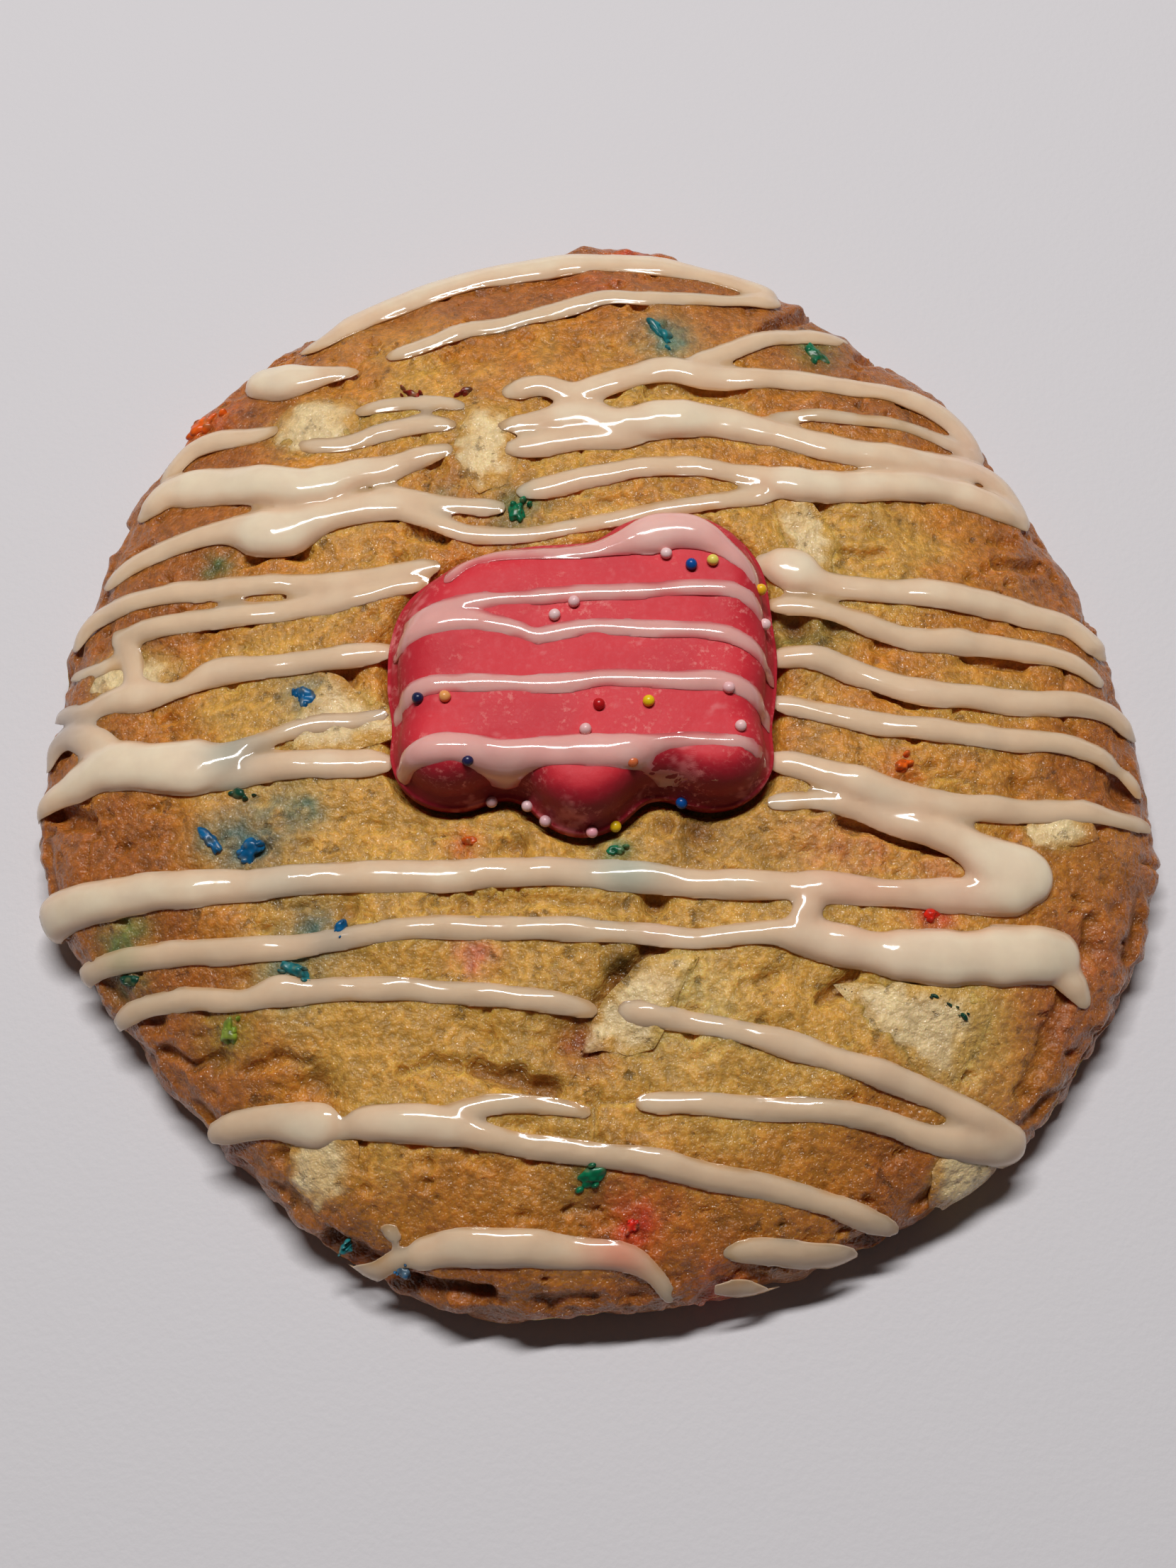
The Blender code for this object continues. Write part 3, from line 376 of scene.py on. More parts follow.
# Sprinkles baked into the dough: x, y, length, width, turn, colour
seaBlue, teal = (8, 84, 128), (26, 100, 104)
green, darkGreen, lime = (8, 96, 62), (16, 58, 42), (120, 140, 40)
orange, red, darkRed = (206, 84, 16), (196, 34, 18), (120, 26, 12)
sprinkles = (
    (-25, 1.2, 2.6, 1.6, 100, seaBlue), (-32.6, -11.4, 3.2, 1.2, -50, seaBlue),
    (-29.2, -12.2, 2.8, 2.2, 20, seaBlue), (-30.2, -7.3, 1.4, 1, 0, darkGreen),
    (-21.4, -19.2, 1.6, 1.2, 60, seaBlue), (-25, -22.5, 3, 1.3, -15, teal),
    (-39.4, -22.2, 1.8, 1, 0, darkGreen), (-30.6, -27.3, 2.6, 1.6, 70, lime),
    (-0.6, -39.5, 2.4, 1.7, 30, green), (1.4, -12.9, 1.8, 1.1, 0, green), (20.4, 37.4, 3, 2.2, -70, green),
    (6.2, 37.4, 4, 1.3, -55, teal), (-7, 18.4, 2.2, 1.8, 70, green), (-36.6, 31.6, 3.6, 1.8, 20, orange),
    (25.6, -5.2, 1.6, 1.2, 40, orange), (28, -17.7, 1.6, 1.2, 0, red), (2.8, -43, 1.6, 1.2, 60, red),
    (-15.9, -46.3, 1.6, 1.3, 0, seaBlue), (-16.6, 31.3, 1.8, 0.9, -40, darkRed),
    (-10.8, -12, 1.3, 0.7, 0, orange), (-20.8, -44.4, 1.4, 0.8, 20, teal),
    (27.8, -24.7, 0.9, 0.5, -20, darkGreen), (28.9, -25.3, 0.9, 0.5, -30, darkGreen),
    (30.2, -26.2, 0.8, 0.5, -50, darkGreen), (-11.9, 31.4, 1.6, 0.8, 20, darkRed),
)
# Colour that has soaked out of them, and two painted shadows, under the biscuit's right leg and in the crack
# by the fourth chunk: x, y, radius, colour, strength
stainsAndShadows = (
    (-24.6, 0.6, 2.4, (84, 112, 104), 0.6), (-32, -11, 2.2, (96, 110, 84), 0.5),
    (-29.2, -11.6, 2.8, (60, 96, 96), 0.6), (-27.6, -9, 2.6, (126, 124, 92), 0.5),
    (-24.6, -9, 1.8, (70, 110, 98), 0.5), (-23.4, -19.4, 2.4, (74, 92, 80), 0.6),
    (-25.4, -22.8, 3.2, (88, 104, 84), 0.6), (-40, -18.8, 2.2, (84, 124, 70), 0.6),
    (-39.5, -22.2, 1.8, (70, 96, 56), 0.5), (-30.6, -27, 2.4, (150, 128, 50), 0.6),
    (-0.6, -39.4, 2.6, (78, 96, 48), 0.6), (1.4, -12.8, 1.6, (80, 120, 84), 0.6),
    (20, 38, 2.4, (96, 104, 56), 0.6), (6.4, 37.4, 2.6, (84, 112, 92), 0.7),
    (-7, 18.8, 2.6, (70, 104, 72), 0.6), (-13.5, 20.5, 1.6, (110, 112, 84), 0.4),
    (-36.6, 31.4, 3, (190, 84, 24), 0.7), (25.6, -5.4, 1.8, (196, 104, 36), 0.6),
    (27.8, -17.8, 2.2, (186, 70, 40), 0.6), (28.6, -14, 1.8, (170, 90, 60), 0.5),
    (3.2, -41.6, 4.6, (178, 84, 28), 0.5), (3, -43.2, 2, (190, 54, 30), 0.6),
    (7.6, -25.6, 4.4, (206, 172, 100), 0.6), (29.6, -28.4, 4.4, (204, 168, 98), 0.5),
    (-10.2, -21.6, 1.9, (190, 104, 76), 0.6), (-11, -12.6, 1.6, (190, 100, 40), 0.6),
    (18.4, -12, 4, (172, 106, 66), 0.35), (22, -12.6, 3, (186, 96, 52), 0.4),
    (-25.4, 24.4, 2.2, (190, 124, 36), 0.6), (17, 7.6, 2.6, (104, 100, 52), 0.6),
    (20.4, 7.4, 2, (110, 98, 50), 0.6), (0, 44.6, 3.6, (170, 84, 28), 0.5),
    # painted shadow: the dark brown patch at 8.6, -10.6 lies under the biscuit's right leg
    (3.4, 49.6, 2.4, (190, 62, 24), 0.6), (8.6, -10.6, 3.4, (112, 78, 30), 0.5),
    # painted shadow: the dark patch at 2.4, -22.6 lies in the crack by the fourth chunk
    (2.4, -22.6, 2.2, (92, 66, 22), 0.75), (-1, -28.9, 2.6, (142, 76, 30), 0.7),
    (41, -20, 3, (166, 88, 52), 0.5), (38.6, -25.6, 3, (160, 88, 48), 0.45),
    (-33.4, 14.4, 1.6, (80, 96, 50), 0.6), (-24.2, -37.8, 2.4, (120, 90, 50), 0.3),
    (10, -48.2, 2.2, (180, 60, 30), 0.6), (36.6, 10, 4, (150, 96, 40), 0.3),
    (-31.4, -37.6, 2, (120, 60, 70), 0.35),
)
# Where the crust is paler or browner: x, y, radius, shift towards brown
zones = (
    (-4, -20, 13, -0.5), (9, -26, 10, -0.45), (-22, -10, 9, -0.45), (-27, 2, 6, -0.5), (27, -27, 8, -0.35),
    (20, -12, 9, -0.35), (15, 11, 7, -0.45), (0, 22, 9, -0.3), (24, 17, 7, -0.25), (-14, 33, 8, -0.15),
    (33, -3, 8, -0.1), (-20, -28, 9, -0.3), (-36, 12, 11, 0.35), (-40, -13, 7, 0.3), (-12, -40, 10, 0.05),
    (2, -42, 8, 0.1), (24, -34, 8, 0.1), (14, 38, 11, 0.2), (-6, 43, 10, 0.2), (42, 16, 9, 0.25),
    (-25, 24, 6, -0.4), (8, 31, 7, -0.2), (-6, -17, 8, -0.15), (-8, -35, 12, -0.25), (12, -38, 10, -0.2),
    (47, -4, 8, 0.15), (38, 30, 10, 0.45), (-44, 18, 8, 0.15), (-36, 26, 8, 0.4), (-40, -24, 7, 0.2),
    (44, -16, 8, 0.15), (36, 0, 9, 0.05),
)
crust = {
    "pale": tone(190, 142, 62),
    "golden": tone(178, 114, 36),
    "brown": tone(152, 86, 24),
    "deep": tone(116, 58, 14),
    "olive": tone(170, 130, 60),
    "soak": 1.25,  # strengthens all the stains, and the two painted shadows among them
}


def crustColour(points, depth):
    x, y = points[:, 0], points[:, 1]
    share = np.minimum(np.hypot(x, y) / rimAt(np.arctan2(y, x)), 1)
    brown = 0.42 + 0.3 * ramp(share, 0.66, 0.92) + 0.25 * ramp(share, 0.85, 1.0)
    brown = brown + 0.22 * grain(points, 7.0, 21) + 0.14 * grain(points, 2.6, 22)
    for zx, zy, radius, shift in zones:
        brown += shift * fade(x, y, zx, zy, radius)
    brown += 0.25 * ramp(4.2 - points[:, 2], 0, 3.0)
    colours = np.tile(crust["pale"], (len(points), 1))
    blend(colours, crust["olive"], 0.6 * ramp(grain(points, 5.0, 23), 0.2, 0.8) * (1 - brown))
    blend(colours, crust["golden"], ramp(brown, 0.1, 0.55))
    blend(colours, crust["brown"], ramp(brown, 0.5, 1.0))
    wander = 0.5 * grain(points, 1.1, 24) + 0.35 * grain(points, 0.6, 25)
    for sx, sy, radius, colour, strength in stainsAndShadows:
        near = fade(x, y, sx, sy, radius) * (1 + wander)
        blend(colours, tone(*colour), crust["soak"] * strength * near)
    for place in chunks.values():
        close = 1 - ramp(chunkShare(x, y, place) + 0.3 * wander, 0.7, 1.7)
        blend(colours, chunk["halo"], 0.7 * close)
    # painted shade: cracks, hollows, pits and fissures are painted darker with the deep colour, more the
    # deeper they go
    blend(colours, crust["deep"], 0.65 * ramp(depth, 0.35, 1.7))
    return colours * (1 + 0.1 * grain(points, 0.8, 26))[:, None]


def makeSheet(name, cells, rings):  # a square sheet with a skirt: z counts the skirt's rings downwards
    clearSelection()
    bpy.ops.mesh.primitive_grid_add(x_subdivisions=cells, y_subdivisions=cells, size=2.0)
    obj = bpy.context.object
    obj.name = obj.data.name = name
    bpy.ops.object.mode_set(mode="EDIT")
    bpy.ops.mesh.select_all(action="SELECT")
    bpy.ops.mesh.region_to_loop()
    for _ in range(rings):
        bpy.ops.mesh.extrude_edges_move(TRANSFORM_OT_translate={"value": (0, 0, -1)})
    bpy.ops.mesh.edge_face_add()
    bpy.ops.mesh.poke()
    bpy.ops.mesh.select_all(action="SELECT")
    bpy.ops.mesh.normals_make_consistent(inside=False)
    bpy.ops.object.mode_set(mode="OBJECT")
    return obj


def roundPlaces(obj, rings):  # for each point the turn, and the shares of the way out and down the skirt
    u, v, level = placesOf(obj).T
    steep = np.abs(v) > np.abs(u)
    large, small = np.where(steep, v, u), np.where(steep, u, v)
    lean = math.pi / 4 * small / np.where(np.abs(large) < 1e-6, 1.0, large)
    turn = np.where(steep, math.pi / 2 - lean, lean) + np.where(large < 0, math.pi, 0)
    reach = np.abs(large)
    return turn, reach * (1 + 0.25 * (1 - reach**2)), np.clip(-level / rings, 0, 1)


def makeDough():
    obj = makeSheet("bakedDough", dough["cells"], dough["sideRings"])
    turn, reach, down = roundPlaces(obj, dough["sideRings"])
    rim = rimAt(turn)
    radius = reach * rim * 0.9999
    points = doughSkin(radius * np.cos(turn), radius * np.sin(turn))
    below = down > 0
    edge = down * math.pi / 2
    out = np.where(reach > 0.5, rim - dough["undercut"] * (1 - np.cos(edge)) ** 1.2, 0)
    points[below, 0] = (out * np.cos(turn))[below]
    points[below, 1] = (out * np.sin(turn))[below]
    points[below, 2] = (dough["rimHeight"] * (1 - np.sin(edge)))[below]
    setPlaces(obj, points)

    outward = placesOf(obj, "normal")
    x, y, z = points.T
    share = np.hypot(x, y) / rim
    rough = sum(height * grain(points, size, k) for k, (size, height) in enumerate(dough["grains"]))
    fissure = np.exp(-((grain(points, 5.5, 31) / 0.05) ** 2)) * ramp(grain(points, 13.0, 32), 0.05, 0.4)
    depth = np.where(below, 0, cragDepth(x, y)) + dough["fissureDepth"] * fissure
    sideways = ramp(share, 0.93, 1.0) * ramp(z, 0.6, 2.0)
    flakes = np.abs(grain(points * (1, 1, 2.2), 3.6, 33))
    rough = rough * (1 + 0.5 * sideways) - 0.7 * sideways * ramp(flakes, 0.35, 0.8)
    rough += sideways * (0.45 * grain(points, 2.6, 37) + 0.2 * grain(points, 1.2, 38) - 0.25)
    warped = points[:, :2] + 0.3 * np.stack([grain(points, 0.9, 35), grain(points, 0.9, 36)], axis=1)
    for px, py in rng.uniform(-50, 50, (dough["pits"], 2)):
        size = rng.uniform(0.3, 0.85)
        near = (np.abs(x - px) < 2) & (np.abs(y - py) < 2) & ~below
        away = np.hypot(warped[near, 0] - px, (warped[near, 1] - py) * 1.5) / size
        hole = np.exp(-(away**4))
        depth[near] = np.maximum(depth[near], rng.uniform(0.4, 1.0) * dough["pitDepth"] * hole * (0.6 + size))
    settled = ramp(z, 0.0, 0.9)
    points = points + outward * ((rough - dough["inset"] - depth) * settled)[:, None]

    seat = ramp(lobeField(np.clip(x, -30, 30), np.clip(y, -30, 30)), -0.9, 0.3) * (~below)
    points[:, 2] += seat * (dough["seat"] - points[:, 2])
    for place in chunks.values():
        lower = (1 - ramp(chunkShare(x, y, place), 0.5, 0.8)) * (~below)
        points -= outward * (dough["chunkBed"] * lower)[:, None]
    points[:, 2] = np.maximum(points[:, 2], 0)
    setPlaces(obj, points)
    # the depth given for the colour also counts the low spots of the bumps, so they take the painted shade
    # too
    setNumbers(obj, "bake", crustColour(points, depth + 0.5 * ramp(-rough, 0.25, 0.7)))
    print("dough:", len(points), "points")
    return obj


# Icing: a flat drawing of strokes, melted together, then laid over a surface

icing = {
    "pointStep": 0.7,
    "voxel": 0.34,
    "smoothing": 6,
    "swell": 0.08,  # what the smoothing takes off again
    "rise": 0.5,
    "softness": 0.8,  # how far in from the edge the surface lifts
    "taper": (1.5, 0.75),  # over this length at an end, down to this share of the width
    "root": 0.35,
    "lift": 0.02,
    "widthWobble": 0.07,
    "sideWobble": 0.11,
    "caps": ((0.94, 0.34), (0.78, 0.62), (0.5, 0.87)),  # round ends: shares of the radius, outward and across
}
doughStrokes = (
    ((-27.4, 38.6, 1.2), (-25.2, 39.8, 2), (-22.9, 41.5, 2.8), (-20.1, 43.3, 3), (-16.9, 44.6, 3.2),
     (-13.2, 45.8, 3.2), (-9.5, 46.7, 3.2), (-4.1, 47.2, 3.2), (1.3, 47.6, 3), (6, 47.4, 2.8),
     (10, 46.8, 2.6), (13.2, 46, 2.6), (15.6, 45.2, 2.8), (16.4, 44.3, 2.4)),
    ((16.4, 43.8, 2.6), (13.1, 43.1, 1.6), (8.9, 42.8, 1.6), (4.5, 42.2, 1.7), (-0.2, 42, 1.9),
     (-4.4, 40.6, 1.8), (-7.9, 39.6, 1.8), (-11.5, 38.8, 2), (-14.9, 37.4, 1.8), (-18.7, 36.1, 1.8)),
    ((-30.6, 34.8, 4), (-28.6, 34.4, 4.8), (-26.7, 34.3, 3.7), (-24.3, 34.6, 2), (-22.3, 34.6, 1.4)),
    ((-39.4, 25.6, 1.8), (-38.4, 27, 2.2), (-37.2, 28.2, 2.5), (-35.1, 28.6, 2.5), (-32.3, 28.4, 2.3),
     (-29.4, 28.4, 1.8)),
    ((-21.6, 29.8, 1.3), (-18.7, 30.3, 1.5), (-14.7, 30.2, 1.6), (-12.2, 29.6, 1.3)),
    ((-26.7, 26.4, 1.6), (-22.6, 26.3, 1.8), (-19.2, 27.3, 1.9), (-15.7, 27.8, 2), (-13.1, 27.5, 1.6)),
    ((-41.2, 21.6, 2), (-40.2, 22.6, 3), (-38.8, 23.5, 3.8), (-36.4, 23.5, 4.2), (-33, 22.9, 4.3),
     (-29.2, 22.2, 4.2), (-26.6, 21.6, 4.3), (-23.8, 22, 3.9), (-21, 23, 3.2), (-18.4, 23.5, 2.7),
     (-16, 24.2, 2.3), (-13.4, 24.9, 1.8)),
    ((-18.9, 20.6, 2.6), (-15.5, 19.8, 1.9), (-12.1, 19.1, 1.5), (-8.7, 18.9, 2)),
    ((-43.9, 14.9, 1.8), (-41.4, 16.4, 2.2), (-36.6, 17.4, 2.2), (-32.5, 17.9, 2.8), (-29.6, 17.3, 4.6),
     (-27, 17.2, 4.4), (-23.9, 18.4, 3.2), (-20.5, 19.4, 3), (-17.7, 19.4, 3), (-15.4, 18.2, 2),
     (-12, 16.6, 1.8), (-8.7, 16.2, 1.6), (-5.5, 16.2, 1.4), (-1.6, 17.1, 1.5), (3.3, 18.1, 1.5),
     (7.7, 19, 1.6), (11.7, 19.8, 1.7), (15.6, 20.8, 2.4)),
    ((-6.4, 20.5, 2.2), (-3.1, 21.2, 2.2), (0.2, 22.1, 2.2), (3.9, 22.8, 2.2), (8.9, 23.1, 2),
     (13.4, 22.5, 2.2), (16.8, 21.7, 3.4), (21.3, 21.7, 3.4), (26.5, 22.2, 3.2), (31.2, 22.5, 3.2),
     (34.7, 21.9, 3), (38.3, 21, 2.6)),
    ((-7.7, 24.9, 2), (-4.3, 25.5, 2.4), (-0.3, 26.1, 2.4), (3.6, 26.2, 2.6)),
    ((-8.3, 27.3, 1.6), (-4.9, 27.9, 2.6), (-0.9, 28.2, 3.4), (2.2, 27.4, 3.4), (6.2, 28, 4),
     (10.7, 28.1, 3.6), (14.7, 27.3, 3), (19.3, 26.2, 3), (24.4, 25.4, 2.8), (29.1, 25.3, 3),
     (33.9, 25.6, 2.6), (36.6, 24.6, 2.6), (38.2, 22.4, 2.4), (38.6, 20.6, 2.2)),
    ((-7.8, 31.2, 2.2), (-4.9, 31.8, 2.2), (-2, 30.9, 2.6), (1, 31.9, 3), (3.4, 32.9, 2.8), (6.3, 33.7, 3),
     (9.7, 33.1, 3), (13.8, 33.3, 2.4), (19.1, 33.5, 2.4), (25, 33.4, 2.4), (29.8, 32.7, 2.6),
     (33.2, 30.8, 2.6), (34.9, 28, 2.4)),
    ((34.9, 27.7, 2.2), (32.4, 28.3, 1.6), (29.4, 29, 1.3), (24.7, 29.1, 1.3), (20, 29.3, 1.3),
     (15.9, 29, 1.3)),
    ((8.6, 34.2, 2.2), (12.2, 36.3, 2), (15.8, 38.3, 2), (19.4, 39.6, 1.9), (23.1, 40, 1.8)),
    ((-46.6, 9.4, 1.6), (-45.8, 10.9, 2), (-43.8, 11.7, 2.2), (-38.9, 12, 2.1), (-33.7, 12.2, 2.1),
     (-28.6, 12.2, 2), (-25.5, 12.1, 2.1), (-22.5, 11.9, 2.2), (-19.6, 12.4, 2), (-16.6, 12.9, 1.8),
     (-14.2, 13.1, 1.8)),
    ((-15.2, 11.7, 1.8), (-17.6, 11.2, 2), (-21.5, 10.3, 2.3), (-25.9, 9.7, 2.1), (-31.9, 9.2, 2),
     (-36, 9.1, 2), (-41.2, 8.7, 1.9), (-42.4, 8.4, 1.8)),
    ((-42.5, 9, 1.8), (-41.2, 7.2, 2), (-40.6, 4.9, 2), (-40, 2.7, 2.4)),
    ((-46.5, 6, 1.3), (-44.1, 5.9, 1.6), (-41.4, 6.8, 1.6)),
    ((-48, 2.7, 1.8), (-45, 2, 1.8), (-42.8, 2.4, 2.4), (-40.4, 2.5, 3.2), (-36.2, 2.8, 2), (-33.3, 4, 2.8),
     (-29.4, 4.2, 2.2), (-25.5, 4.4, 2), (-21.6, 4.7, 2.2), (-17.8, 5.2, 1.8)),
    ((-48.5, -1.9, 1.6), (-47.9, -0.4, 2.2), (-46.1, 0, 2.4), (-43.4, -1.5, 2.8), (-41.6, -3, 3)),
    ((-49.4, -6.2, 1.8), (-47.6, -5.4, 2.6), (-45.1, -4.7, 3.4), (-42.1, -3.8, 4.4), (-37.9, -4.3, 4.8),
     (-33.9, -4.7, 4.8), (-31.7, -4.3, 3.6), (-29.6, -3, 1.6), (-26.8, -2.3, 1.4), (-23.6, -1.3, 1.6),
     (-20.3, -1.1, 1.4), (-18.2, -0.7, 1.6)),
    ((-33.9, -5.3, 3.6), (-31.1, -5.6, 2.8), (-28.9, -5.3, 2.6), (-25.6, -5, 2.6), (-21.8, -4.9, 2.8),
     (-18.1, -5.1, 2.6)),
    ((-48.2, -16, 3.8), (-44, -15.7, 3.8), (-38, -15.3, 3.3), (-30, -15.3, 3), (-22, -14.9, 2.6),
     (-14, -15, 2.8), (-5, -14.8, 2.4), (3, -15, 2.7), (8.3, -15.7, 2.6), (15.1, -15.8, 2.6),
     (20.4, -16, 2.6), (24.7, -16.3, 2.4), (29, -16.2, 2.9), (32.3, -16, 3.4), (34.6, -15.6, 4.2)),
    ((14.8, -4.8, 2.2), (18.1, -5.7, 2.4), (21.8, -6.9, 3), (25.6, -8, 3), (29.9, -8.5, 2.4),
     (35.5, -8.4, 2.2), (41.3, -8, 2), (44.6, -8.2, 1.6), (47.9, -8, 1.5)),
    ((14.8, -8.6, 1.8), (18, -8.4, 1.6), (21.7, -9, 2.2), (24.9, -9.9, 2.6), (28.2, -10.8, 2.8),
     (30.8, -11.9, 3.2), (33.2, -13.2, 4.6), (35.8, -14.2, 5.6)),
    ((-44.8, -21.2, 1.7), (-41, -20.6, 2), (-34, -20.5, 2.2), (-28, -20.8, 2.1), (-22, -20.3, 1.9),
     (-15, -19.4, 1.9), (-4.8, -19.6, 2), (3, -19.9, 1.8), (8.2, -20.3, 1.8), (13.5, -19.9, 2),
     (17.7, -20.3, 3.2), (22.4, -21.1, 3.6), (26.7, -21.5, 4.6), (32.1, -21.2, 5), (36.6, -20.8, 5),
     (38.6, -20.6, 4.4)),
    ((18.3, -15.9, 2), (17.5, -17.1, 2.2), (16.9, -18.7, 2.4), (16.1, -19.9, 2)),
    ((38.4, -21.4, 2.9), (39.9, -22.5, 2.7), (40.9, -23.8, 2.1)),
    ((-41, -25.2, 1.6), (-37.7, -24.4, 1.9), (-33.7, -24.3, 2), (-29, -24.9, 1.8), (-26.3, -24.3, 2.6),
     (-23.9, -24.4, 2), (-19.7, -24.3, 2), (-14.9, -24.5, 1.9), (-9.7, -25, 1.9), (-4.5, -25.6, 1.9),
     (-0.6, -26.2, 1.7)),
    ((2.4, -26.4, 2.2), (6.6, -27, 1.8), (10.7, -27.8, 1.8), (15.9, -29.1, 2.2), (20.1, -30.3, 2),
     (24.8, -31.6, 2.4), (28.6, -32.9, 2.2), (32, -34.3, 2.4), (34.2, -35.4, 2.6)),
    ((-31.8, -34.7, 2.4), (-27.1, -34.4, 2.6), (-22.5, -35, 3.6), (-20.8, -35.3, 1.8), (-18.6, -35, 3),
     (-12.2, -35.5, 3), (-9.1, -36.5, 2.2), (-2.8, -37.5, 1.9), (3.5, -38.2, 2), (8.5, -39.2, 2.2),
     (13, -40, 2), (17.5, -40.8, 1.9), (21.4, -42, 1.9), (24.5, -42.6, 1.4)),
    ((-12.2, -34.5, 2), (-8.4, -33.8, 1.6), (-4, -34, 1.5), (-0.9, -34.5, 1.3)),
    ((3.7, -33.6, 1.8), (8.1, -33.7, 2), (13.3, -34, 2), (18.5, -34.2, 2), (23.8, -34.9, 2),
     (27.6, -35.9, 2.2), (31.5, -36.2, 2.8), (34.5, -35.6, 3.2)),
    ((-20.6, -45.9, 1.2), (-18.5, -46.1, 1.4), (-16.8, -45.5, 1.5), (-15.4, -45.2, 1.5)),
    ((-17.4, -43, 1.1), (-16.8, -43.4, 1.3), (-16.3, -43.7, 1.1)),
    ((-15.5, -45.3, 2), (-12.3, -44.7, 2.8), (-7.2, -44.8, 2.8), (-1.5, -45.1, 2.6), (2.3, -45.5, 2.2),
     (4.5, -46.7, 1.5), (5.8, -48.2, 1.5)),
    ((10.6, -45, 1.5), (13, -44.8, 1.9), (17.4, -44.9, 1.8), (21.2, -44.8, 1.4)),
    ((9.6, -47.6, 1.1), (11.6, -47.4, 1.3), (13.5, -47.9, 1.3), (15.2, -48.3, 1.1)),
    ((14.4, 13.6, 2.2), (17, 13, 4.2), (19.8, 11.8, 2.6), (24.2, 11.3, 2.6), (28.2, 11.4, 2.8),
     (32.7, 11, 2.8), (37.3, 10.6, 2.6), (41.5, 10.4, 2.6), (44.2, 9, 2.8), (44.9, 8.3, 2.2)),
    ((15.2, 9.6, 1.8), (19.1, 9.2, 1.8), (23, 8.1, 2), (26.8, 6.8, 2.2), (30.7, 6.8, 2.4), (34.7, 6.8, 2.2),
     (39.3, 6.5, 2.2), (42.3, 6.1, 2.2), (44.2, 5.1, 2)),
    ((15.1, 4.4, 2), (19, 4.4, 2.2), (22.7, 3.1, 2.4), (27.1, 1.9, 2.6), (32.1, 1.7, 2.4), (37.2, 1.7, 2.4),
     (42, 2.2, 2.2), (45.4, 1.9, 2.4), (47.2, 0.9, 2.4)),
    ((15.2, 0.4, 1.8), (18.8, -0.4, 2), (24.2, -1.4, 2.2), (29.7, -1.9, 2.2), (35.3, -1.9, 2.2),
     (40.5, -1.8, 2), (43.5, -2.3, 2), (45.1, -3.2, 1.8)),
    ((45.6, -3.5, 1.6), (46.7, -4.1, 1.5), (47.2, -5.2, 1.2)),
)
frostingStrokes = (
    ((-12.6, 9.4, 1.2), (-11.5, 10.7, 1.3), (-9.4, 11.5, 1.3), (-6.3, 11.8, 1.3), (-3.3, 11.9, 1.3),
     (-0.6, 12.2, 1.7), (1.7, 12.7, 2.4), (4, 13.4, 3.4), (6.7, 13.9, 3.6), (9.2, 13.4, 3), (11, 12.2, 2),
     (12.6, 10.8, 1.4), (13.6, 9.2, 1.2)),
    ((-15.8, 5.7, 1.8), (-12.7, 6.7, 1.6), (-9, 7.4, 1.5), (-5.2, 7.7, 1.5), (-1.4, 8.1, 1.6),
     (2.4, 8.2, 1.5), (6.2, 8.4, 1.5), (10.1, 8.6, 1.5), (12.3, 8.2, 1.5), (13.8, 7.2, 1.3), (14.5, 6, 1.1)),
    ((-16.8, 3.8, 1.8), (-14.6, 5, 2.3), (-10.8, 5.4, 2.1), (-7, 4.9, 1.7), (-5.1, 4.3, 1.7),
     (-2.5, 4.7, 1.6), (-0.2, 5.1, 1.6), (2.4, 5, 1.7), (6.2, 4.7, 1.6), (10, 4.6, 1.6), (12.2, 3.9, 1.6),
     (14, 2.8, 1.3), (14.8, 1.6, 1.1)),
    ((-17.4, -2.2, 1.3), (-16.3, -1, 1.6), (-14.5, -0.2, 1.7), (-10.7, -0.1, 1.6), (-7, -0.1, 1.7),
     (-3.2, -0.1, 1.8), (0.1, 0.3, 1.7), (3.1, 0.3, 1.7), (6.9, 0.1, 1.7), (9.9, 0.2, 1.7), (12.1, -0.3, 1.6),
     (13.9, -1.4, 1.4), (14.8, -2.6, 1.1)),
    ((-17, -7, 1.5), (-15.1, -6.1, 2.1), (-12.5, -5.8, 2.5), (-9.9, -6, 2.7), (-7.3, -6.5, 3),
     (-5.1, -6.2, 2.7), (-2.1, -6, 2.7), (0.9, -6.1, 2.9), (3.1, -6, 2.8), (4.8, -5.5, 1.7), (6.8, -5.2, 1.3),
     (9.8, -5.1, 1.3), (12.4, -5.3, 1.3), (14.4, -6.4, 1.2)),
    ((3.4, -6.8, 1.3), (5.3, -7.3, 1), (7.9, -7.6, 0.8), (10.4, -7.9, 0.7), (11.8, -8.2, 0.6)),
)
icingStains = (  # x, y, radius, colour, strength
    (2.4, -14.6, 3.4, (150, 172, 160), 0.6), (22, -15.4, 5, (226, 160, 136), 0.5),
    (30, -16.4, 3, (224, 170, 148), 0.4), (-47.6, 1.2, 3, (150, 150, 150), 0.6),
    (-31, -3.4, 2.4, (130, 146, 140), 0.6), (-30.6, -8, 2, (110, 140, 132), 0.6),
    (-22, -20.2, 2.4, (140, 140, 128), 0.5), (-26, -15.6, 3, (178, 176, 160), 0.4),
    (1.8, -45, 2.8, (222, 120, 98), 0.6), (-7.6, 19.8, 2.4, (150, 164, 146), 0.5),
    (-40, -20.6, 1.8, (150, 156, 120), 0.5), (34, 27, 4, (220, 176, 158), 0.4),
    (5, -18.9, 2, (214, 170, 150), 0.4),
)
glaze = {"thin": tone(196, 148, 104), "full": tone(212, 178, 148), "thick": tone(224, 200, 174)}
pinkGlaze = {"thin": tone(200, 84, 86), "full": tone(216, 154, 146), "thick": tone(224, 176, 166)}


def smoothRun(run):
    columns = list(zip(*run))
    length = sum(math.dist(a[:2], b[:2]) for a, b in zip(run, run[1:]))
    count = max(6, round(length / icing["pointStep"]))
    return [[catmull(column, k / count * (len(run) - 1)) for column in columns] for k in range(count + 1)]


